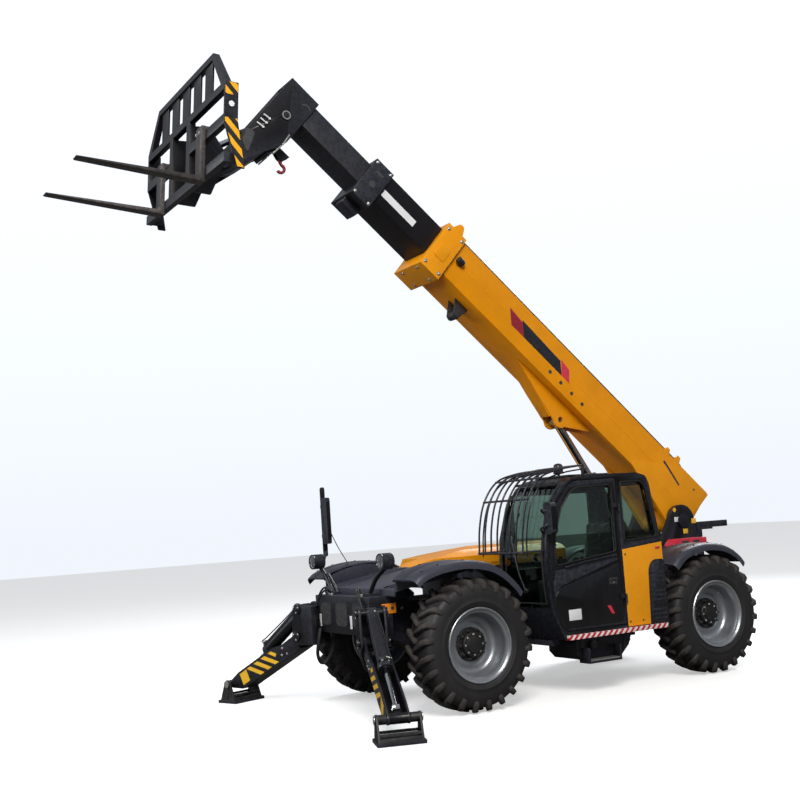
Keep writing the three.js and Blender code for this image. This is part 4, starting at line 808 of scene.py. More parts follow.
def front_deck():
    """The sloping cover between the front fenders, with its ribs, skirts and toe."""
    shape = Mesh()
    lines = [(x, deck_height(x)) for x in (0.650, 0.45, 0.2, -0.05, -0.225)]
    outline = [*[(x, z + 0.024) for x, z in lines], *[(x, z) for x, z in reversed(lines)]]
    shape.plate(outline, -0.750, 0.750)
    for side in SIDES.values():
        low, high = sorted((side * 0.735, side * 0.761))
        skirt = [(0.640, 1.190), (0.520, 1.210), (-0.200, 1.320), (-0.250, 1.340), (-0.120, 1.392), (0.100, 1.410),
                 (0.380, 1.390), (0.560, 1.345), (0.640, 1.300)]
        shape.plate(skirt, low, high)
        low, high = sorted((side * 0.300, side * 0.330))
        shape.box((0.300, low, 1.0403), (0.560, high, 1.190))
    made("front_deck_cover", shape, "chassis", "fender_plastic", bevel=0.006, slot="plastic", replaces=("front_deck",))
    ribs = Mesh()
    for y in (-0.66, -0.56, -0.46, 0.46, 0.56, 0.66):
        rib = [(0.62, deck_height(0.62) + 0.020), (0.60, deck_height(0.60) + 0.036),
               (-0.17, deck_height(-0.17) + 0.036), (-0.19, deck_height(-0.19) + 0.020)]
        ribs.plate(rib, y - 0.012, y + 0.012)
    toe = [(0.652, 1.120), (0.664, 1.130), (0.664, 1.190), (0.650, 1.196), (0.636, 1.190)]
    ribs.plate(toe, -0.745, 0.745)
    made("front_deck_ribs", ribs, "chassis", "fender_plastic", bevel=0.004, slot="plastic")


def chassis_details():
    refined("chassis_frame", "black_paint", 0.006)
    for end in ENDS:
        refined(f"{end}_axle", "cast_iron_and_pocket_shade", 0.008)
        for hand in SIDES:
            refined(f"knuckle_{end}_{hand}", "cast_iron_and_pocket_shade", 0.006)
        x = 0.0 if end == "front" else REAR_AXLE
        shape = Mesh().bar((x + 0.13, -0.56, 0.60), (x + 0.13, 0.56, 0.60), 0.016, 16)
        shape.bar((x + 0.13, -0.24, 0.60), (x + 0.13, 0.24, 0.60), 0.034, 24)
        for y in (-0.20, 0.20):
            shape.box((x + 0.075, y - 0.02, 0.57), (x + 0.15, y + 0.02, 0.63))
        made(f"{end}_steering_cylinder", shape, "chassis", "cast_iron_and_pocket_shade", bevel=0.002)
        spots = []
        for k in range(16):
            a = 2 * math.pi * k / 16
            point = (x + 0.128 * math.cos(a), 0.130, HUB_HEIGHT + 0.128 * math.sin(a))
            spots.append(spot(MACHINE, point, (0, 1, 0)))
            spots.append(spot(MACHINE, (point[0], -0.130, point[2]), (0, -1, 0)))
        scattered(f"{end}_axle_bolts", bolt(0.011, 0.010), spots, "chassis", "cast_iron_and_pocket_shade", smooth=30)
    shaft = Mesh().bar((-0.16, 0, 0.66), (REAR_AXLE + 0.16, 0, 0.66), 0.045, 24)
    for x in (-0.24, REAR_AXLE + 0.24):
        shaft.bar((x - 0.06, 0, 0.66), (x + 0.06, 0, 0.66), 0.062, 24)
    made("drive_shaft", shaft, "chassis", "cast_iron_and_pocket_shade", bevel=0.003)
    tower_details()
    rear_details()


TOWER_FACE = 0.340  # of the tower's side plates
FRAME_BOLTS = [
    (-3.58, 1.22), (-3.30, 1.20), (-2.70, 0.98), (-2.20, 0.98), (-1.60, 0.98), (-0.50, 0.98), (0.36, 0.98),
    (0.50, 0.98), (-2.90, 1.03),
]


def tower_details():
    pivot = Vector((-3.430, 0, 1.620))
    cap = Mesh()
    spots = []
    for side in SIDES.values():
        y = side * 0.352
        cap.bar(pivot + Vector((0, y, 0)), pivot + Vector((0, y + side * 0.014, 0)), 0.078, 40)
        for x, z in FRAME_BOLTS:
            spots.append(spot(MACHINE, (x, side * TOWER_FACE, z), (0, side, 0)))
    made("boom_pin_caps", cap, "chassis", "black_paint", bevel=0.003)
    scattered("frame_bolts", bolt(0.013, 0.012), spots, "chassis", "zinc", smooth=30)
    plate = Mesh().plate(rounded([(-3.66, 1.28), (-3.42, 1.28), (-3.42, 1.40), (-3.66, 1.40)], 0.02), TOWER_FACE, 0.346)
    made("tower_plate", plate, "chassis", "gloss_black", bevel=0.0015)
    dot = Mesh().bar((-3.54, 0.346, 1.34), (-3.54, 0.349, 1.34), 0.034, 32)
    dot.box((-3.640, TOWER_FACE, 1.580), (-3.570, 0.3425, 1.635))
    dot.box((-3.500, TOWER_FACE, 1.470), (-3.430, 0.3425, 1.525))
    dot.bar((-3.323, TOWER_FACE, 1.747), (-3.323, 0.3425, 1.747), 0.024, 28)
    made("tower_labels", dot, "chassis", "label_yellow", bevel=0.0006)
    label = Mesh().box((-3.385, TOWER_FACE, 1.610), (-3.310, 0.3425, 1.665))
    made("tower_white_label", label, "chassis", "white_film", bevel=0.0006)


def rear_details():
    shape = Mesh()
    for side in SIDES.values():
        shape.bar((-4.100, side * 0.270, 1.556), (-4.100, side * 0.342, 1.556), 0.026, 24)
        shape.box((-3.900, side * 0.275 - 0.002, 1.500), (-3.700, side * 0.335 + 0.002, 1.524))
    made("rear_arm_bosses", shape, "chassis", "black_paint", bevel=0.003)
    lamps = Mesh()
    for side in SIDES.values():
        lamps.plate(rounded([(side * 0.30, 0.86), (side * 0.48, 0.86), (side * 0.48, 0.95), (side * 0.30, 0.95)], 0.02),
                    -3.850, -3.866, "yz")
    made("rear_lamp_lenses", lamps, "chassis", "red_paint", bevel=0.003)
    spots = [spot(MACHINE, (-3.850, y, z), (-1, 0, 0)) for y in (-0.44, -0.22, 0.22, 0.44) for z in (0.69, 0.80)]
    scattered("ballast_bolts", bolt(0.016, 0.015), spots, "chassis", "cast_iron_and_pocket_shade", smooth=30)


def chock():
    made("chock_body", Mesh().plate([(-2.910, 1.3523), (-2.930, 1.3823), (-2.980, 1.4283), (-3.410, 1.4283),
                                     (-3.410, 1.3523)], 0.560, 0.720),
         "chassis", "red_paint", bevel=0.006, slot="red", replaces=("wheel_chock",))
    # Painted shade: the chock's slots are flat dark plates whose colour stands for the shade inside them.
    holes = Mesh()
    for x in (-3.30, -3.14):
        holes.plate(rounded([(x, 1.378), (x + 0.10, 1.378), (x + 0.10, 1.404), (x, 1.404)], 0.013), 0.7195, 0.7215)
    made("chock_slots", holes, "chassis", "inside_plastic_and_hole_shade", bevel=0.0)


# ---- stabilizers ----
HAZARD = (rgb(236, 170, 12), rgb(24, 24, 26))


def stabilizers():
    refined("stabilizer_beam", "black_paint", 0.006)
    for hand, side in SIDES.items():
        refined(f"stabilizer_leg_{hand}", "black_paint", 0.006)
        refined(f"stabilizer_barrel_{hand}", "cab_black", 0.004)
        refined(f"stabilizer_rod_{hand}", "chrome_rod", 0.002)
        refined(f"stabilizer_foot_{hand}", "cast_iron_and_pocket_shade", 0.004)
        leg_details(hand, side)
    beam_details()


LEG_ROOT = Vector((0.908, 0.736, 0.724))
LEG_TURN = 70.8  # degrees from straight ahead to the leg, outwards
LEG_END = Vector((1.068, 0, -0.524))  # its foot pin
LEG_HALF = 0.098  # half its width
ROD_EYE_SLOPE = 36.02  # degrees that the cylinder falls from its pin


def leg_frame(side):
    """Along one leg: X outwards, Y along its pins, Z up, from its root pin."""
    turn = Matrix.Rotation(side * math.radians(LEG_TURN), 4, "Z")
    return MACHINE @ Matrix.Translation((LEG_ROOT.x, side * LEG_ROOT.y, LEG_ROOT.z)) @ turn


def leg_details(hand, side):
    at = leg_frame(side)
    along = at @ Matrix.Rotation(math.atan2(-LEG_END.z, LEG_END.x), 4, "Y")
    pins = Mesh()
    for u, w in ((0, 0), (-0.020, 0.272)):
        for y in (-1, 1):
            pins.bar((u, y * 0.143, w), (u, y * 0.150, w), 0.048, 32)
            pins.bar((u, y * 0.150, w), (u, y * 0.156, w), 0.026, 24)
    made(f"leg_root_pins_{hand}", pins, "chassis", "cab_black", at, 0.002)
    bolts = [spot(at, (u + 0.036 * math.cos(k), y * 0.150, w + 0.036 * math.sin(k)), (0, y, 0))
             for u, w in ((0, 0), (-0.020, 0.272)) for y in (-1, 1) for k in (0.5, 2.6, 4.7)]
    scattered(f"leg_pin_bolts_{hand}", bolt(0.008, 0.006), bolts, "chassis", "zinc", smooth=30)
    front = -side
    y0, y1 = sorted((front * (LEG_HALF + 0.0003), front * (LEG_HALF + 0.0016)))
    stripe = Mesh()
    for k in range(3):
        u = 0.555 + 0.130 * k
        stripe.plate([(u + 0.040, 0.046), (u + 0.106, 0.046), (u - 0.074, -0.100), (u - 0.140, -0.100)], y0, y1)
    stripe.plate([(0.410, -0.010), (0.479, 0.046), (0.533, 0.046), (0.440, -0.034)], y0, y1)
    made(f"leg_stripes_{hand}", stripe, f"leg_{hand}", "label_yellow", along, 0.0)
    label = Mesh().plate([(0.930, -0.082), (1.050, -0.082), (1.050, 0.044), (0.930, 0.044)], y0, y1)
    made(f"leg_label_{hand}", label, f"leg_{hand}", "label_yellow", along, 0.0)
    spots = [spot(along, (u, front * LEG_HALF, w), (0, front, 0))
             for u, w in ((0.30, 0.00), (0.34, -0.06), (0.26, -0.08))]
    scattered(f"leg_bolts_{hand}", bolt(0.010, 0.009), spots, f"leg_{hand}", "zinc", smooth=30)
    end = LEG_END.length
    caps = Mesh()
    for y in (-1, 1):
        caps.bar((end, y * 0.201, 0), (end, y * 0.208, 0), 0.038, 28)
    made(f"leg_foot_caps_{hand}", caps, f"foot_{hand}", "zinc", along, 0.002)
    foot_details(hand, at @ Matrix.Translation(LEG_END))
    cylinder = at @ Matrix.Translation((-0.020, 0, 0.272)) @ Matrix.Rotation(math.radians(ROD_EYE_SLOPE), 4, "Y")
    cover = Mesh().box((0.060, -0.054, 0.010), (0.690, 0.054, 0.066))
    made(f"leg_cylinder_cover_{hand}", cover, f"leg_barrel_{hand}", "black_paint", cylinder, 0.010, segments=3)
    ridge = Mesh().box((0.075, -0.003, 0.064), (0.680, 0.003, 0.0700))
    ridge.box((0.698, -0.058, 0.030), (0.715, 0.058, 0.074))
    made(f"leg_cylinder_ridge_{hand}", ridge, f"leg_barrel_{hand}", "cab_black", cylinder, 0.001)
    pipes = Mesh().bar((0.700, 0.010, 0.088), (0.725, 0.058, 0.088), 0.009, 12)
    pipes.bar((0.735, -0.030, 0.060), (0.735, -0.030, 0.092), 0.012, 6)
    pipes.bar((0.745, 0.030, 0.060), (0.745, 0.030, 0.090), 0.012, 6)
    made(f"leg_cylinder_fittings_{hand}", pipes, f"leg_barrel_{hand}", "zinc", cylinder, 0.001)
    line = Mesh().tube([(0.745, 0.030, 0.090), (0.735, 0.045, 0.106), (0.66, 0.046, 0.096), (0.30, 0.046, 0.078),
                        (0.08, 0.040, 0.076)], 0.0065, 10)
    made(f"leg_cylinder_pipe_{hand}", line, f"leg_barrel_{hand}", "hose", cylinder, 0.0, smooth=60)


def foot_details(hand, at):
    """Folded rims round the base, stiffeners and the cross bar between the foot's cheeks."""
    rims = Mesh()
    for y in (-1, 1):
        low, high = sorted((y * 0.1995, y * 0.207))
        rims.box((-0.138, low, -0.199), (0.138, high, -0.168))
        low, high = sorted((y * 0.1925, y * 0.1995))
        rims.box((-0.010, low, -0.180), (0.010, high, -0.040))
    for x in (-1, 1):
        low, high = sorted((x * 0.1345, x * 0.142))
        rims.box((low, -0.207, -0.199), (high, 0.207, -0.168))
    made(f"foot_rims_{hand}", rims, f"foot_{hand}", "black_paint", at, 0.002)
    bars = Mesh().box((-0.090, -0.176, -0.130), (-0.075, 0.176, -0.105))
    bars.box((0.075, -0.176, -0.130), (0.090, 0.176, -0.105))
    made(f"foot_cross_bars_{hand}", bars, f"foot_{hand}", "cast_iron_and_pocket_shade", at, 0.002)


def beam_details():
    face = 0.850
    rims = Mesh()
    # Painted shade: each pocket's hollow is a flat dark plate inside a raised rim, its dark colour standing for the
    # shade in the recess.
    pockets = Mesh()
    for y in (-0.36, 0.0, 0.36):
        hollow = rounded([(y - 0.120, 0.840), (y + 0.120, 0.840), (y + 0.120, 1.060), (y - 0.120, 1.060)], 0.06, 6)
        around = rounded([(y - 0.134, 0.826), (y + 0.134, 0.826), (y + 0.134, 1.074), (y - 0.134, 1.074)], 0.07, 6)
        rims.plate(around, face + 0.0002, face + 0.006, "yz")
        pockets.plate(hollow, face + 0.006, face + 0.0075, "yz")
    made("beam_pocket_rims", rims, "chassis", "black_paint", bevel=0.003)
    made("beam_pockets", pockets, "chassis", "cast_iron_and_pocket_shade", bevel=0.0)
    strips = Mesh()
    for y in (-0.490, 0.185):
        strips.box((face + 0.006, y, 0.818), (face + 0.0085, y + 0.042, 0.945))
    made("beam_reflectors", strips, "chassis", "white_film", bevel=0.0006)
    made("beam_side_plate", Mesh().box((0.560, 0.5803, 0.960), (0.715, 0.5860, 1.055)), "chassis", "amber", bevel=0.002)
    # Painted shade: the two holes are flat dark discs whose colour stands for the shade inside them.
    holes = Mesh()
    for x in (0.600, 0.675):
        holes.bar((x, 0.5858, 1.008), (x, 0.5872, 1.008), 0.018, 24)
    made("beam_side_holes", holes, "chassis", "inside_plastic_and_hole_shade", bevel=0.0)
    hoses = Mesh()
    fittings = Mesh()
    for side in SIDES.values():
        for k in range(2):
            y = side * (0.30 + 0.05 * k)
            hoses.tube([(0.80, y, 1.140), (0.83, y, 1.19 + 0.02 * k), (0.87, y + side * 0.07, 1.16),
                        (0.88, side * 0.50, 1.02)], 0.010, 12)
            fittings.bar((0.80, y, 1.130), (0.80, y, 1.152), 0.016, 6)
            low = side * (0.440 + 0.03 * k)
            hoses.tube([(0.875, low, 0.80), (0.905, low, 0.66), (0.90, low + side * 0.04, 0.52),
                        (0.84, low + side * 0.05, 0.44), (0.76, low, 0.56), (0.72, low, 0.76)], 0.011, 12)
    made("beam_hoses", hoses, "chassis", "hose", bevel=0.0, smooth=60)
    made("beam_fittings", fittings, "chassis", "zinc", bevel=0.001)


# ---- lamps and mirror ----
def headlamps():
    refined("headlamp_left", "cab_black", 0.006)
    refined("headlamp_right_and_mirror", "cab_black", 0.006)
    for hand, side in SIDES.items():
        at = MACHINE @ Matrix.Translation((0.740, side * 0.740, 1.462))
        rim = [(0.060, 0.036), (0.070, 0.036), (0.076, 0.042), (0.078, 0.050), (0.074, 0.056), (0.066, 0.054),
               (0.062, 0.046)]
        made(f"headlamp_bezel_{hand}", Mesh().lathe(rim, 48, "x"), "chassis", "gloss_black", at, 0.0, smooth=40)
        bowl = [(0.0, 0.0425), (0.030, 0.0430), (0.064, 0.0460), (0.064, 0.0425), (0.0, 0.0421)]
        made(f"headlamp_bowl_{hand}", Mesh().lathe(bowl, 48, "x"), "chassis", "reflector", at, 0.0)
        lens = [(0.0, 0.0600), (0.034, 0.0580), (0.064, 0.0520), (0.064, 0.0490), (0.034, 0.0550), (0.0, 0.0570)]
        made(f"headlamp_lens_{hand}", Mesh().lathe(lens, 48, "x"), "chassis", "lamp_glass", at, 0.0, smooth=60)
        cross = Mesh().box((0.0425, -0.003, -0.060), (0.050, 0.003, 0.060))
        cross.box((0.0425, -0.060, -0.003), (0.050, 0.060, 0.003))
        made(f"headlamp_cross_{hand}", cross, "chassis", "gloss_black", at, 0.001)
        fins = Mesh()
        for k in range(5):
            fins.lathe([(0.060, -0.060 + 0.018 * k), (0.0775, -0.060 + 0.018 * k), (0.0775, -0.054 + 0.018 * k),
                        (0.060, -0.054 + 0.018 * k)], 40, "x")
        made(f"headlamp_fins_{hand}", fins, "chassis", "cab_black", at, 0.0)


def mirrors():
    x, y = 0.480, -1.040
    glass_face = rounded([(y + 0.014, 1.650), (y + 0.122, 1.650), (y + 0.122, 2.120), (y + 0.014, 2.120)], 0.03)
    made("tall_mirror_glass", Mesh().plate(glass_face, x - 0.0225, x - 0.0195, "yz"), "chassis", "chrome_rod",
         bevel=0.0)
    back = rounded([(y + 0.004, 1.636), (y + 0.134, 1.636), (y + 0.134, 2.135), (y + 0.004, 2.135)], 0.045, 6)
    made("tall_mirror_back", Mesh().plate(back, x - 0.0195, x + 0.026, "yz"), "chassis", "cab_black", bevel=0.012)
    clamp = Mesh()
    for z in (1.72, 2.04):
        clamp.box((x - 0.024, y - 0.024, z - 0.018), (x + 0.024, y + 0.020, z + 0.018))
    post = rounded([(x - 0.027, 1.500), (x + 0.027, 1.500), (x + 0.027, 2.252), (x - 0.027, 2.252)], 0.026, 6)
    made("tall_mirror_post", Mesh().plate(post, y - 0.008, y + 0.004), "chassis", "black_paint", bevel=0.002)
    made("tall_mirror_clamps", clamp, "chassis", "cast_iron_and_pocket_shade", bevel=0.003)
    stay = Mesh().tube([(x, y, 1.93), (0.42, y + 0.16, 1.62), (0.36, y + 0.30, 1.40)], 0.005, 8)
    made("tall_mirror_stay", stay, "chassis", "cab_black", bevel=0.0)
    pillar = Mesh().tube([(-0.90, 1.10, 1.80), (-0.83, 1.14, 1.84), (-0.82, 1.20, 1.84), (-0.845, 1.22, 1.82)],
                         0.010, 10)
    pillar.tube([(-0.86, 1.10, 1.62), (-0.81, 1.14, 1.66), (-0.81, 1.20, 1.68), (-0.845, 1.22, 1.70)], 0.010, 10)
    made("cab_mirror_arm", pillar, "chassis", "cab_black", bevel=0.0, smooth=60)
    housing = Mesh().plate(rounded([(1.172, 1.60), (1.300, 1.61), (1.300, 1.91), (1.172, 1.92)], 0.04, 6),
                           -0.900, -0.835, "yz")
    made("cab_mirror_housing", housing, "chassis", "cab_black", bevel=0.018, segments=3)
    pane = Mesh().plate(rounded([(1.184, 1.615), (1.288, 1.625), (1.288, 1.895), (1.184, 1.905)], 0.035, 6),
                        -0.902, -0.8995, "yz")
    made("cab_mirror_glass", pane, "chassis", "chrome_rod", bevel=0.0)


# ---- cab ----
CAB_INNER, CAB_OUTER = 0.345, 1.150
CAB_FRONT = [(-1.000, 0.560), (-0.860, 0.880), (-0.830, 1.250), (-0.855, 1.560), (-0.960, 1.890), (-1.110, 2.080),
             (-1.230, 2.148)]
DOOR_WINDOW = [(-0.962, 1.290), (-0.950, 1.400), (-0.972, 1.590), (-1.066, 1.850), (-1.190, 2.000), (-1.270, 2.046),
               (-1.724, 2.056), (-1.724, 1.382)]
QUARTER_WINDOW = [(-1.848, 1.478), (-1.848, 2.080), (-2.118, 2.080), (-2.180, 2.010), (-2.278, 1.500)]
GUARD = [(-0.585, 1.440), (-0.610, 1.700), (-0.690, 1.960), (-0.860, 2.160), (-1.100, 2.235), (-1.400, 2.270)]


def inset(outline, distance):
    """A convex outline moved inwards."""
    middle = sum((Vector(p) for p in outline), Vector((0, 0))) / len(outline)
    moved = []
    for p in outline:
        toward = middle - Vector(p)
        moved.append(Vector(p) + toward.normalized() * distance)
    return moved


def pane(name, outline, y0, y1, body):
    shape = Mesh().plate(rounded(inset(outline, 0.004), 0.03), y0, y1)
    made(name, shape, body, "cab_glass", bevel=0.0, slot="glass")


def moulding(name, outline, y, body, radius=0.009, corner=0.035):
    path = [(p[0], y, p[1]) for p in rounded(outline, corner, 5)]
    shape = Mesh().tube(path, radius, 8, per_span=0, closed=True)
    made(name, shape, body, "hose", bevel=0.0, smooth=60)


def windscreen_glass():
    low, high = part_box("windscreen")
    path = [p for p in smooth_path([(x, 0, z) for x, z in CAB_FRONT], 8) if low.z + 0.004 < p.z < high.z - 0.004]
    inward = []
    for i, p in enumerate(path):
        along = (path[min(i + 1, len(path) - 1)] - path[max(i - 1, 0)]).normalized()
        inward.append(Vector((-along.z, 0, along.x)))
    rings = []
    sides = 15
    for k in range(sides):
        across = k / (sides - 1)
        y = low.y + 0.003 + (high.y - low.y - 0.006) * across
        sink = 0.012 * (2 * across - 1) ** 4
        outer = [p + n * (0.002 + sink) for p, n in zip(path, inward)]
        inner = [p + n * (0.008 + sink) for p, n in zip(path, inward)]
        rings.append([v + Vector((0, y, 0)) for v in (*outer, *reversed(inner))])
    made("windscreen_pane", Mesh().loft(rings), "chassis", "cab_glass", bevel=0.0, slot="glass", smooth=60,
         replaces=("windscreen",))
    edge = [p - n * 0.001 for p, n in zip(path, inward)]
    frame_line = Mesh()
    for y in (low.y + 0.004, high.y - 0.004):
        frame_line.tube([v + Vector((0, y, 0)) for v in edge], 0.010, 8, per_span=0)
    for v in (edge[0], edge[-1]):
        frame_line.bar(v + Vector((0, low.y, 0)), v + Vector((0, high.y, 0)), 0.010, 8)
    made("windscreen_seal", frame_line, "chassis", "hose", bevel=0.0, smooth=60)


def wiper():
    shape = Mesh()
    on_glass = [Vector((x + 0.022, 0, z)) for x, z in CAB_FRONT if 1.2 < z < 2.0]
    arm = [Vector((-0.812, 0.80, 1.06)), on_glass[0] + Vector((0.012, 0.72, 0.02)),
           on_glass[1] + Vector((0.006, 0.60, 0.04))]
    shape.tube(arm, 0.007, 8)
    made("wiper_arm", shape, "chassis", "cab_black", bevel=0.0, smooth=60)
    blade = Mesh().tube([on_glass[0] + Vector((0.004, 0.50, -0.02)), on_glass[1] + Vector((0.003, 0.56, 0.0)),
                         on_glass[2] + Vector((0.004, 0.64, -0.06))], 0.006, 6)
    made("wiper_blade", blade, "chassis", "hose", bevel=0.0)
    motor = Mesh().bar((-0.835, 0.80, 1.05), (-0.805, 0.80, 1.05), 0.022, 20)
    made("wiper_spindle", motor, "chassis", "cast_iron_and_pocket_shade", bevel=0.002)


def guard():
    bars = 8
    inner, outer = CAB_INNER + 0.018, CAB_OUTER - 0.026
    bar = Mesh().tube([(x, 0, z) for x, z in GUARD], 0.010, 10, 7)
    spots = [spot(MACHINE, (0, inner + (outer - inner) * i / (bars - 1), 0), (0, 0, 1)) for i in range(bars)]
    scattered("guard_bars", bar, spots, "chassis", "cab_black", smooth=60, slot="black")
    rails = Mesh()
    for x, z in (GUARD[0], GUARD[2], GUARD[3], GUARD[5]):
        rails.bar((x, inner - 0.012, z), (x, outer + 0.012, z), 0.011, 14)
    for y in (inner, outer):
        rails.box((-1.412, y - 0.012, 2.1703), (-1.388, y + 0.012, 2.272))
        rails.box((-0.838, y - 0.010, 1.440), (-0.580, y + 0.010, 1.454))
        rails.tube([(x - 0.045, y, z - 0.035) for x, z in GUARD], 0.008, 8, 6)
    made("guard_rails", rails, "chassis", "cab_black", bevel=0.002, slot="black", replaces=("cab_guard",))


# The outsides of the door's skin and of its glossy lower panel
DOOR_SKIN, DOOR_PANEL = 1.1495, 1.1560


def door():
    refined("cab_door", "cab_black", 0.006)
    pane("door_glass", DOOR_WINDOW, 1.122, 1.128, "door")
    moulding("door_window_seal", DOOR_WINDOW, 1.1505, "door")
    gloss = [(-1.036, 0.672), (-0.972, 0.740), (-0.922, 0.880), (-0.905, 0.960), (-0.960, 1.060), (-1.752, 1.265),
             (-1.752, 0.672)]
    made("door_lower_panel", Mesh().plate(rounded(gloss, 0.03), DOOR_SKIN, DOOR_PANEL), "door", "gloss_black",
         bevel=0.005, segments=3)
    crease = [(-0.902, 0.985), (-0.896, 1.120), (-0.930, 1.240), (-1.700, 1.345), (-1.745, 1.300), (-0.975, 1.082)]
    made("door_crease", Mesh().plate(rounded(crease, 0.02), DOOR_SKIN, 1.1600), "door", "cab_black", bevel=0.005,
         segments=3)
    rail = Mesh().tube([(-1.700, 1.150, 1.330), (-1.700, 1.178, 1.345), (-1.300, 1.178, 1.305), (-1.060, 1.178, 1.270),
                        (-1.060, 1.150, 1.262)], 0.009, 10, 4)
    made("door_rail", rail, "door", "cab_black", bevel=0.0, smooth=60)
    handle = Mesh().box((-1.705, 1.150, 1.055), (-1.600, 1.160, 1.120))
    handle.box((-1.695, 1.160, 1.098), (-1.612, 1.178, 1.112))
    handle.box((-1.695, 1.158, 1.098), (-1.682, 1.178, 1.112))
    handle.box((-1.625, 1.158, 1.098), (-1.612, 1.178, 1.112))
    made("door_handle", handle, "door", "inside_plastic_and_hole_shade", bevel=0.003)
    lock = Mesh().bar((-1.652, 1.158, 1.072), (-1.652, 1.166, 1.072), 0.010, 20)
    made("door_lock", lock, "door", "zinc", bevel=0.001)
    plate = Mesh().box((-1.215, DOOR_PANEL, 0.745), (-1.060, 1.1575, 0.850))
    made("door_blank_plate", plate, "door", "white_film", bevel=0.0005)
    mark = Mesh().plate([(-1.640, 0.765), (-1.600, 0.765), (-1.550, 0.850), (-1.590, 0.850)], DOOR_PANEL, 1.1576)
    made("door_red_mark", mark, "door", "red_paint", bevel=0.0005)
    inner = Mesh().plate(rounded([(-1.02, 0.70), (-0.95, 0.90), (-0.94, 1.22), (-1.74, 1.22), (-1.74, 0.70)], 0.04),
                         1.092, 1.0995)
    made("door_lining", inner, "door", "inside_plastic_and_hole_shade", bevel=0.003)


def cab():
    refined("cab_shell", "cab_black", 0.008)
    windscreen_glass()
    wiper()
    guard()
    door()
    pane("quarter_glass", QUARTER_WINDOW, 1.118, 1.124, "chassis")
    moulding("quarter_window_seal", QUARTER_WINDOW, 1.1505, "chassis")
    right = [(-2.060, 1.240), (-1.040, 1.240), (-1.040, 2.010), (-2.060, 2.010)]
    pane("right_glass", right, 0.360, 0.366, "chassis")
    moulding("right_window_seal", right, 0.3445, "chassis")
    rear = rounded([(0.427, 1.502), (1.048, 1.502), (1.048, 2.038), (0.427, 2.038)], 0.04)
    shape = Mesh().plate(rear, -0.003, 0.003, "yz")
    lean = Matrix.Translation((-2.285, 0, 1.760)) @ Matrix.Rotation(math.atan2(0.093, 0.610), 4, "Y")
    made("rear_glass", shape, "chassis", "cab_glass", MACHINE @ lean @ Matrix.Translation((0, 0, -1.760)), 0.0,
         slot="glass")
    hatch = Mesh().box((-1.798, 0.467, 2.146), (-1.302, 1.018, 2.154))
    made("roof_hatch_glass", hatch, "chassis", "cab_glass", bevel=0.0, slot="glass")
    rim = Mesh().tube([(-1.80, 0.465, 2.172), (-1.30, 0.465, 2.172), (-1.30, 1.020, 2.172), (-1.80, 1.020, 2.172)],
                      0.012, 8, per_span=0, closed=True)
    made("roof_hatch_seal", rim, "chassis", "hose", bevel=0.0)
    bar = Mesh().tube([(-1.885, 1.112, 1.56), (-1.885, 1.085, 1.60), (-1.885, 1.085, 1.92), (-1.885, 1.112, 1.96)],
                      0.010, 10)
    made("quarter_grab_bar", bar, "chassis", "cab_black", bevel=0.0, smooth=60)
    beacon_at = MACHINE @ Matrix.Translation((-1.500, 0.600, 2.232))
    dome = Mesh().lathe([(0.0, 0.0), (0.050, 0.0), (0.051, 0.045), (0.046, 0.072), (0.030, 0.086), (0.0, 0.092)],
                        40, "z")
    made("beacon_dome", dome, "chassis", "cab_black", beacon_at, 0.0, smooth=60)
    stalk = Mesh().bar((0, 0, -0.085), (0, 0, -0.016), 0.014, 16)
    stalk.lathe([(0.0, -0.020), (0.052, -0.020), (0.056, -0.014), (0.056, 0.001), (0.0, 0.001)], 40, "z")
    made("beacon_base", stalk, "chassis", "cab_black", beacon_at, 0.0)
    side_panel()
    interior()


def side_panel():
    refined("side_panel", "yellow_paint", 0.005)
    ribbed = rounded([(-2.350, 0.575), (-2.350, 1.262), (-2.200, 1.262), (-2.135, 1.190), (-2.105, 0.575)], 0.05, 5)
    made("rear_corner_panel", Mesh().plate(ribbed, 1.149, 1.158), "chassis", "cab_black", bevel=0.003)
    rib = Mesh().box((-0.095, 0.0, -0.010), (0.095, 0.005, 0.010)).bevel(0.003)
    spots = [spot(MACHINE, (-2.235, 1.156, 0.66 + 0.046 * i + 0.05 * (i // 3)), (0, 0, 1)) for i in range(9)]
    scattered("rear_corner_ribs", rib, spots, "chassis", "cab_black", smooth=30)
    screws = [spot(MACHINE, (-2.335, 1.158, z), (0, 1, 0)) for z in (0.60, 0.90, 1.20)]
    screws += [spot(MACHINE, (x, 1.150, z), (0, 1, 0))
               for x, z in ((-1.840, 0.66), (-1.840, 1.34), (-2.010, 0.66), (-2.30, 1.38))]
    scattered("side_panel_screws", bolt(0.008, 0.005), screws, "chassis", "cast_iron_and_pocket_shade", smooth=30)
    cap = Mesh().box((-2.300, 1.120, 1.366), (-2.248, 1.156, 1.392))
    made("side_panel_red_cap", cap, "chassis", "red_paint", bevel=0.005)
    banded("sill_stripes", (14.0, 0.0, 14.0), rgb(196, 30, 42), rgb(226, 226, 226))
    sill = Mesh().box((-2.306, 1.1505, 0.560), (-1.014, 1.1900, 0.606))
    made("sill_striped", sill, "chassis", "sill_stripes", bevel=0.004)


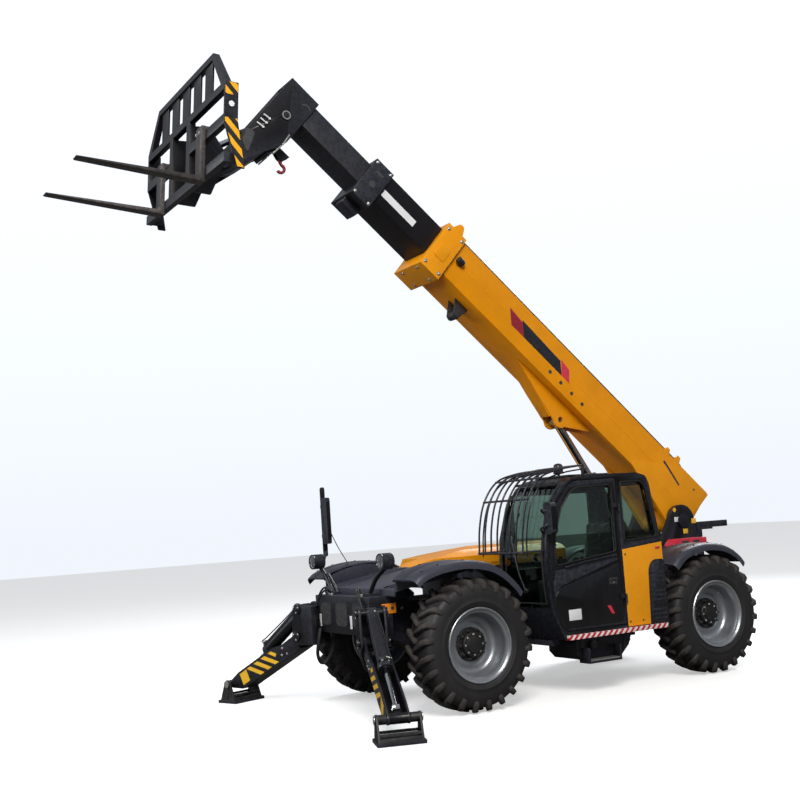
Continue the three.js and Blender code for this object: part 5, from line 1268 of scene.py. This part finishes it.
def cushion(name, low, high, tilt, pivot):
    """A padded cushion blown up from a box with rounded corners."""
    shape = Mesh().box(low, high)
    bmesh.ops.bevel(shape.bm, geom=list(shape.bm.edges), offset=0.03, segments=3, profile=0.6, affect="EDGES")
    turn = Matrix.Translation(pivot) @ Matrix.Rotation(tilt, 4, "Y")
    obj = loose(name, shape.data(name, MACHINE @ turn))
    remesh = obj.modifiers.new("fine", "REMESH")
    remesh.mode = "VOXEL"
    remesh.voxel_size = 0.012
    cloth_modifier = obj.modifiers.new("cloth", "CLOTH")
    settings = cloth_modifier.settings
    settings.use_pressure = True
    settings.uniform_pressure_force = 4.0
    settings.effector_weights.gravity = 0.0
    settings.quality = 6
    cloth_modifier.point_cache.frame_start = 1
    cloth_modifier.point_cache.frame_end = 12
    scene = bpy.context.scene
    for step in range(1, 13):
        scene.frame_set(step)
    mesh = bpy.data.meshes.new_from_object(obj.evaluated_get(bpy.context.evaluated_depsgraph_get()))
    scene.frame_set(1)
    obj.modifiers.clear()
    obj.data = mesh
    mesh = obj.data
    bpy.data.objects.remove(obj)
    mesh.name = name
    made_piece = piece(name, mesh, "chassis", "seat_cloth", slot="seat", smooth=60)


# The steering wheel
GRIP_RADIUS, GRIP_POINTS = 0.176, 28


def interior():
    cushion("seat_cushion", (-0.24, -0.20, -0.055), (0.24, 0.20, 0.055), 0.0, (-1.540, 0.770, 1.045))
    cushion("seat_backrest", (-0.055, -0.20, -0.29), (0.055, 0.20, 0.29), math.radians(-13), (-1.815, 0.770, 1.390))
    base = Mesh().box((-1.780, 0.560, 0.955), (-1.300, 0.980, 0.990)).box((-1.760, 0.600, 0.6023),
                                                                          (-1.330, 0.940, 0.640))
    for k in range(6):
        base.box((-1.750 + 0.002 * k, 0.610, 0.650 + 0.048 * k), (-1.340, 0.930, 0.676 + 0.048 * k))
    base.plate([(-1.780, 0.98), (-1.830, 0.98), (-1.955, 1.66), (-1.915, 1.68), (-1.880, 1.62)], 0.590, 0.950)
    made("seat_base", base, "chassis", "inside_plastic_and_hole_shade", bevel=0.006, slot="seat", replaces=("driver_seat",))
    arms = Mesh()
    for y in (0.535, 0.985):
        arms.box((-1.780, y - 0.022, 1.190), (-1.460, y + 0.022, 1.222))
        arms.box((-1.800, y - 0.012, 1.060), (-1.770, y + 0.012, 1.210))
    made("seat_arms", arms, "chassis", "inside_plastic_and_hole_shade", bevel=0.008)
    belt = Mesh().box((-1.56, 0.560, 1.092), (-1.52, 0.980, 1.110))
    made("seat_belt", belt, "chassis", "red_paint", bevel=0.004)
    refined("control_console", "inside_plastic_and_hole_shade", 0.004)
    wheel_at = Matrix.Translation((-1.175, 0.770, 1.295)) @ Matrix.Rotation(math.radians(-35), 4, "Y")
    turns = [2 * math.pi * k / GRIP_POINTS for k in range(GRIP_POINTS)]
    ring = [wheel_at @ Vector((GRIP_RADIUS * math.cos(a), GRIP_RADIUS * math.sin(a), 0.0)) for a in turns]
    grip = Mesh().tube(ring, 0.016, 10, per_span=0, closed=True)
    made("steering_wheel_grip", grip, "chassis", "hose", bevel=0.0, smooth=60)
    levers = Mesh()
    for x, y in ((-1.45, 0.43), (-1.52, 0.46), (-1.16, 0.64)):
        levers.bar((x, y, 1.10), (x - 0.02, y, 1.30), 0.009, 12)
        levers.bar((x - 0.018, y, 1.285), (x - 0.024, y, 1.345), 0.022, 20, 0.018)
    made("control_levers", levers, "chassis", "gloss_black", bevel=0.003)
    display = Mesh().box((-1.085, 0.88, 1.10), (-1.060, 1.05, 1.24))
    made("dash_display", display, "chassis", "gloss_black", bevel=0.006)
    pedals = Mesh()
    for y in (0.62, 0.72, 0.86):
        pedals.box((-1.26, y, 0.66), (-1.235, y + 0.07, 0.75))
        pedals.bar((-1.245, y + 0.035, 0.70), (-1.17, y + 0.035, 0.74), 0.010, 10)
    made("pedals", pedals, "chassis", "cast_iron_and_pocket_shade", bevel=0.003)
    posts = Mesh()
    for x in (-1.90, -1.10):
        posts.box((x - 0.02, 0.39, 2.10), (x + 0.02, 1.09, 2.126))
    made("roof_lining", posts, "chassis", "inside_plastic_and_hole_shade", bevel=0.006)


def steps_and_tank():
    refined("step_and_tank", "black_paint", 0.006)
    slat = Mesh().box((-0.205, -0.004, 0.0), (0.205, 0.004, 0.012))
    spots = [spot(MACHINE, (-1.490, 1.032 + 0.016 * i, 0.322), (0, 0, 1)) for i in range(7)]
    scattered("step_treads", slat, spots, "chassis", "zinc", smooth=30)
    cap = Mesh().bar((-1.420, 1.020, 0.470), (-1.420, 1.052, 0.470), 0.045, 28)
    cap.bar((-1.420, 1.052, 0.470), (-1.420, 1.062, 0.470), 0.038, 10)
    made("tank_cap", cap, "chassis", "gloss_black", bevel=0.003)
    straps = Mesh()
    for x in (-1.30, -1.85):
        straps.box((x - 0.018, 0.558, 0.40), (x + 0.018, 1.024, 0.5595))
    made("tank_straps", straps, "chassis", "cast_iron_and_pocket_shade", bevel=0.002)


# ---- engine side ----


def engine_side():
    refined("engine_hood", "yellow_paint", 0.012, segments=3)
    refined("engine_bay", "black_paint", 0.006)
    louvre = Mesh().box((-0.20, -0.006, -0.010), (0.20, 0.010, 0.004)).bevel(0.003)
    spots = []
    for x in (-1.95, -1.45):
        spots += [spot(MACHINE, (x, -1.134, 0.72 + 0.034 * i), (0, 0, 1)) for i in range(12)]
    scattered("engine_louvres", louvre, spots, "chassis", "cast_iron_and_pocket_shade", smooth=30)
    grille = Mesh().box((-0.004, -0.150, -0.007), (0.010, 0.150, 0.004)).bevel(0.003)
    spots = [spot(MACHINE, (-0.756, -0.60, 0.78 + 0.030 * i), (0, 0, 1)) for i in range(15)]
    scattered("front_grille", grille, spots, "chassis", "cast_iron_and_pocket_shade", smooth=30)
    latch = Mesh().box((-1.05, -1.138, 1.29), (-0.98, -1.128, 1.32)).box((-2.02, -1.138, 1.29), (-1.95, -1.128, 1.32))
    made("hood_latches", latch, "hood", "cast_iron_and_pocket_shade", bevel=0.003)


# ---- boom ----
def boom_details():
    refined("boom_outer", "yellow_paint", 0.008)
    refined("boom_second", "black_paint", 0.006)
    refined("boom_third", "black_paint", 0.005)
    refined("boom_head", "black_paint", 0.006)
    spots = []
    for side in SIDES.values():
        for s in (4.115, 4.315):
            spots += [spot(BOOM, (s, side * 0.284, n), (0, side, 0)) for n in (0.05, 0.535)]
        spots += [spot(BOOM, (s, side * 0.180, 0.592), (0, 0, 1)) for s in (4.12, 4.31)]
        spots += [spot(BOOM, (s, side * 0.150, -0.003), (0, 0, -1)) for s in (4.12, 4.31)]
    scattered("boom_collar_bolts", bolt(0.016, 0.014), spots, "boom", "zinc", smooth=30)
    spots = []
    for side in SIDES.values():
        for s in (5.155, 5.345):
            spots += [spot(BOOM, (s, side * 0.243, n), (0, side, 0)) for n in (0.07, 0.505)]
    scattered("second_collar_bolts", bolt(0.014, 0.012), spots, "boom_2", "zinc", smooth=30)
    cover = Mesh()
    # Painted shade: the second collar's slot and hole are flat dark plates whose colour stands for the shade inside
    # them.
    hole = Mesh()
    for side in SIDES.values():
        low, high = sorted((side * 0.2835, side * 0.292))
        cover.plate(rounded([(4.150, 0.180), (4.290, 0.180), (4.290, 0.350), (4.150, 0.350)], 0.02), low, high)
        low, high = sorted((side * 0.2425, side * 0.2445))
        hole.plate(rounded([(5.200, 0.400), (5.300, 0.400), (5.300, 0.432), (5.200, 0.432)], 0.012), low, high)
        hole.bar((5.250, side * 0.2425, 0.27), (5.250, side * 0.2445, 0.27), 0.036, 28)
    made("collar_covers", cover, "boom", "yellow_paint", BOOM, 0.003)
    made("second_collar_holes", hole, "boom_2", "inside_plastic_and_hole_shade", BOOM, 0.0)
    boom_side_marks()
    boom_rear()
    head_details()


def boom_side_marks():
    seams = Mesh()
    pipes = Mesh()
    for side in SIDES.values():
        low, high = sorted((side * 0.2395, side * 0.2425))
        seams.box((0.34, low, 0.338), (2.050, high, 0.344)).box((3.250, low, 0.338), (4.075, high, 0.344))
        pipes.tube([(0.30, side * 0.222, 0.576), (0.34, side * 0.222, 0.584), (4.04, side * 0.222, 0.584),
                    (4.075, side * 0.222, 0.584)], 0.011, 10, per_span=0)
    made("boom_seams", seams, "boom", "yellow_paint", BOOM, 0.0012)
    made("boom_pipes", pipes, "boom", "cab_black", BOOM, 0.0, smooth=60)
    stripes = {"dark_red": (2.880, 3.085, 0.110), "gloss_black": (2.245, 2.880, 0.110),
               "red_paint": (2.115, 2.245, 0.090)}
    for material, (s0, s1, lean) in stripes.items():
        shape = Mesh()
        for side in SIDES.values():
            low, high = sorted((side * 0.2398, side * 0.2412))
            shape.plate([(s0, 0.275), (s1, 0.275), (s1 + lean + 0.02, 0.420), (s0 + lean, 0.400)], low, high)
        made(f"boom_stripe_{material}", shape, "boom", material, BOOM, 0.0)
    # Painted shade: the holes and the slot in the boom's sides are flat dark discs and plates whose colour stands for
    # the shade inside them.
    holes = Mesh()
    for side in SIDES.values():
        low, high = sorted((side * 0.2395, side * 0.2415))
        for i in range(4):
            holes.bar((1.842 + 0.1827 * i, low, 0.205), (1.842 + 0.1827 * i, high, 0.205), 0.022, 24)
        low, high = sorted((side * 0.2395, side * 0.2475))
        holes.plate(rounded([(0.207, 0.352), (0.551, 0.440), (0.547, 0.464), (0.203, 0.376)], 0.011, 6), low, high)
        holes.bar((-0.006, low, 0.469), (-0.006, high, 0.469), 0.014, 20)
    made("boom_side_holes", holes, "boom", "inside_plastic_and_hole_shade", BOOM, 0.0)
    lamp = Mesh().box((3.940, 0.240, 0.325), (3.980, 0.262, 0.392))
    lamp.bar((3.955, 0.270, 0.358), (4.030, 0.288, 0.350), 0.036, 24)
    made("boom_work_lamp", lamp, "boom", "cab_black", BOOM, 0.003)
    lens = Mesh().bar((4.026, 0.2872, 0.3504), (4.033, 0.2888, 0.3497), 0.029, 24)
    made("boom_work_lamp_lens", lens, "boom", "lamp_glass", BOOM, 0.0)
    under = Mesh().bar((3.611, -0.060, -0.020), (3.611, 0.060, -0.020), 0.048, 32)
    for y in (-0.072, 0.060):
        under.plate([(3.53, 0.118), (3.575, -0.045), (3.645, -0.050), (3.74, 0.118)], y, y + 0.012)
    made("boom_under_roller", under, "boom", "cast_iron_and_pocket_shade", BOOM, 0.003)
    film = Mesh()
    for side in SIDES.values():
        low, high = sorted((side * 0.2051, side * 0.2054))
        film.box((4.625, low, 0.275), (5.100, high, 0.355))
    made("second_white_strip", film, "boom_2", "white_film", BOOM, 0.0)


def boom_rear():
    lugs = Mesh()
    for s, n in ((0.562, 0.600), (0.380, 0.622)):
        for side in SIDES.values():
            y0, y1 = sorted((side * 0.205, side * 0.235))
            lugs.plate([(s - 0.05, 0.560), (s - 0.02, n + 0.03), (s + 0.03, n + 0.03), (s + 0.06, 0.560)], y0, y1)
    made("boom_rear_lugs", lugs, "boom", "yellow_paint", BOOM, 0.004)
    hose = Mesh()
    for k in range(3):
        y = -0.06 + 0.06 * k
        hose.tube([(-0.190, y, 0.46), (-0.245, y, 0.40), (-0.235, y, 0.20), (-0.14, y, 0.12)], 0.012, 10)
    made("boom_rear_hoses", hose, "boom", "hose", BOOM, 0.0, smooth=60)


def ring_pair(x, z, inner, outer, low, high):
    """A flat ring on each side, round a pin through the boom's head."""
    both = Mesh()
    for side in SIDES.values():
        part = Mesh().lathe([(inner, low), (outer, low), (outer, high), (inner, high)], 40, "y").tidy()
        both.bm.from_mesh(part.data("ring", Matrix.Translation((x, 0, z)) @ mirrored(side)))
    return both


def head_details():
    bosses = Mesh()
    strip = Mesh()
    fittings = Mesh()
    slots = Mesh()
    panels = Mesh()
    for side in SIDES.values():
        bosses.bar((6.353, side * 0.186, 0.150), (6.353, side * 0.194, 0.150), 0.050, 40)
        bosses.bar((6.353, side * 0.194, 0.150), (6.353, side * 0.206, 0.150), 0.020, 6)
        low, high = sorted((side * 0.1862, side * 0.1885))
        strip.plate([(6.196, 0.020), (6.212, 0.020), (6.196, -0.120), (6.180, -0.120)], low, high)
        strip.plate([(6.184, -0.135), (6.200, -0.135), (6.215, -0.270), (6.199, -0.270)], low, high)
        for k in range(3):
            point = Vector((6.450 + 0.002 * k, side * 0.1862, -0.143 + 0.060 * k))
            fittings.bar(point, point + Vector((0, side * 0.024, 0)), 0.013, 6)
            fittings.bar(point + Vector((0, side * 0.018, 0)), point + Vector((0.075, side * 0.018, -0.010)), 0.008, 12)
        low, high = sorted((side * 0.1862, side * 0.1872))
        # Painted shade: the curved slot is a flat dark plate whose colour stands for the shade inside it.
        arc = [(6.248 + r * math.cos(math.radians(a)), 0.353 + r * math.sin(math.radians(a)))
               for r, turn in ((0.062, range(20, 150, 18)), (0.046, range(146, 19, -18))) for a in turn]
        slots.plate(arc, low, high)
        panels.plate(rounded([(6.400, -0.460), (6.520, -0.400), (6.560, -0.260), (6.470, -0.240)], 0.03, 5), low, high)
    made("head_pin_bosses", bosses, "boom_3", "cab_black", BOOM, 0.003)
    made("head_pin_rings", ring_pair(6.353, 0.150, 0.034, 0.046, 0.193, 0.199), "boom_3", "zinc", BOOM, 0.0)
    made("tilt_pin_rings", ring_pair(6.491, -0.771, 0.033, 0.060, 0.187, 0.196), "boom_3", "zinc", BOOM, 0.0)
    made("head_silver_strips", strip, "boom_3", "zinc", BOOM, 0.0006)
    made("head_fittings", fittings, "boom_3", "white_film", BOOM, 0.001)
    made("head_slots", slots, "boom_3", "inside_plastic_and_hole_shade", BOOM, 0.0)
    made("head_panels", panels, "boom_3", "inside_plastic_and_hole_shade", BOOM, 0.0)


def cylinders():
    for kind in ("lift", "tilt"):
        refined(f"{kind}_cylinder_barrel", "cab_black", 0.004)
        refined(f"{kind}_cylinder_rod", "chrome_rod", 0.002)
    refined("lifting_hook", "dark_red", 0.005)


# ---- carriage and forks ----
FORK_SHIFT = 0.105  # of the fork frame to the left of the boom


def carriage_details():
    refined("fork_carriage", "black_paint", 0.006)
    for hand in SIDES:
        refined(f"fork_{hand}", "fork_steel", 0.006)
    banded("post_stripes", (8.3, 0.0, -6.9), *HAZARD)
    stripes = Mesh()
    middle = Mesh()
    marks = Mesh()
    for edge, side in ((FORK_SHIFT + 1.100, 1), (FORK_SHIFT - 1.100, -1)):
        low, high = sorted((edge + side * 0.0002, edge + side * 0.0016))
        stripes.plate([(0.246, 0.404), (0.246, 0.060), (0.175, -0.358), (0.240, -0.358), (0.364, 0.036),
                       (0.364, 0.404)], low, high)
        low, high = sorted((edge + side * 0.0016, edge + side * 0.0028))
        middle.plate([(0.243, 0.290), (0.243, 0.075), (0.367, 0.075), (0.367, 0.290)], low, high)
        low, high = sorted((edge + side * 0.0028, edge + side * 0.0036))
        marks.bar((0.305, low, 0.205), (0.305, high, 0.205), 0.026, 32)
    made("post_stripes", stripes, "carriage", "post_stripes", CARRIAGE, 0.0)
    made("post_middles", middle, "carriage", "gloss_black", CARRIAGE, 0.0)
    made("post_marks", marks, "carriage", "white_film", CARRIAGE, 0.0)
    spots = []
    hooks = Mesh()
    for side in SIDES.values():
        y = side * 0.570 + FORK_SHIFT
        spots += [spot(CARRIAGE, (0.4183, y + d, 0.080), (1, 0, 0)) for d in (-0.039, 0.039)]
        spots += [spot(CARRIAGE, (0.120 + 0.05 * k, side * 0.236, 0.0 - 0.08 * k), (0, side, 0)) for k in range(3)]
        hooks.box((0.3040, y - 0.060, 0.112), (0.4090, y + 0.060, 0.150))
        hooks.box((0.2920, y - 0.060, 0.060), (0.3095, y + 0.060, 0.150))
    scattered("carriage_bolts", bolt(0.012, 0.012), spots, "carriage", "zinc", smooth=30)
    made("fork_hooks", hooks, "carriage", "fork_steel", CARRIAGE, 0.004)


# ---- stage ----
CAMERA_AT = (6.004, 10.305, 1.821)
CAMERA_YAW, CAMERA_PITCH, CAMERA_ROLL = -120.127, 6.042, -3.827


def camera():
    yaw, pitch, roll = (math.radians(a) for a in (CAMERA_YAW, CAMERA_PITCH, CAMERA_ROLL))
    forward = Vector((math.cos(pitch) * math.cos(yaw), math.cos(pitch) * math.sin(yaw), math.sin(pitch)))
    right = forward.cross(Vector((0, 0, 1))).normalized()
    up = right.cross(forward)
    right, up = (
        right * math.cos(roll) + up * math.sin(roll),
        up * math.cos(roll) - right * math.sin(roll),
    )
    data = bpy.data.cameras.new("camera")
    data.lens = 51.69
    data.sensor_width = 36.0
    data.clip_end = 200.0
    obj = bpy.data.objects.new("camera", data)
    turn = Matrix((right, up, -forward)).transposed().to_4x4()
    obj.matrix_world = Matrix.Translation(MACHINE @ Vector(CAMERA_AT)) @ turn
    bpy.context.scene.collection.objects.link(obj)
    bpy.context.scene.camera = obj
    return obj


def light(name, at, target, size, power, colour):
    data = bpy.data.lights.new(name, "AREA")
    data.shape = "RECTANGLE"
    data.size, data.size_y = size
    data.energy = power
    data.color = colour
    obj = bpy.data.objects.new(name, data)
    aim = (Vector(target) - Vector(at)).to_track_quat("-Z", "Y").to_matrix().to_4x4()
    obj.matrix_world = Matrix.Translation(at) @ aim
    bpy.context.scene.collection.objects.link(obj)
    return obj


def stage():
    floor = Mesh().box((-60, -60, -0.05), (60, 60, 0.0))
    floor_obj = loose("floor", floor.tidy().data("floor"))
    material, shader = new_material("floor_pale", Roughness=0.7)
    put(shader, Emission_Color=WHITE)
    lift = node(material.node_tree, "ShaderNodeLightPath").outputs["Is Camera Ray"]
    pale = mix(material.node_tree, lift, rgb(96, 92, 88), rgb(236, 236, 235))
    material.node_tree.links.new(pale, shader.inputs["Base Color"])
    material.node_tree.links.new(multiply(material.node_tree, lift, 0.45), shader.inputs["Emission Strength"])
    floor_obj.data.materials.append(material)
    world = bpy.data.worlds.new("studio")
    world.use_nodes = True
    background = world.node_tree.nodes["Background"]
    sky = world.node_tree.nodes.new("ShaderNodeTexGradient")
    coordinates = world.node_tree.nodes.new("ShaderNodeTexCoord")
    turn = world.node_tree.nodes.new("ShaderNodeMapping")
    turn.inputs["Rotation"].default_value = (0, math.radians(90), 0)
    ramp = world.node_tree.nodes.new("ShaderNodeValToRGB")
    ramp.color_ramp.elements[0].color = rgb(196, 200, 206)
    ramp.color_ramp.elements[1].color = rgb(232, 238, 246)
    world.node_tree.links.new(coordinates.outputs["Generated"], turn.inputs["Vector"])
    world.node_tree.links.new(turn.outputs[0], sky.inputs[0])
    world.node_tree.links.new(sky.outputs[0], ramp.inputs[0])
    world.node_tree.links.new(ramp.outputs[0], background.inputs["Color"])
    seen = world.node_tree.nodes.new("ShaderNodeLightPath")
    strength = world.node_tree.nodes.new("ShaderNodeMapRange")
    put(strength, To_Min=0.42, To_Max=1.6)
    world.node_tree.links.new(seen.outputs["Is Camera Ray"], strength.inputs["Value"])
    world.node_tree.links.new(strength.outputs[0], background.inputs["Strength"])
    bpy.context.scene.world = world
    bpy.context.scene.view_settings.view_transform = "Standard"
    lights = [
        light("key", (7.0, 13.0, 13.0), (0, 0, 2.0), (7, 7), 2900, (1.0, 0.97, 0.92)),
        light("fill", (12.0, -5.0, 7.0), (0, 0, 2.5), (8, 6), 700, (0.92, 0.96, 1.0)),
        light("back", (-11.0, -6.0, 10.0), (0, 0, 2.5), (8, 6), 1100, (0.95, 0.97, 1.0)),
    ]
    camera()


make_materials()
for end in ENDS:
    for hand in SIDES:
        wheel(end, hand)
chassis_details()
fenders()
front_deck()
chock()
stabilizers()
headlamps()
mirrors()
cab()
steps_and_tank()
engine_side()
boom_details()
cylinders()
carriage_details()
stage()
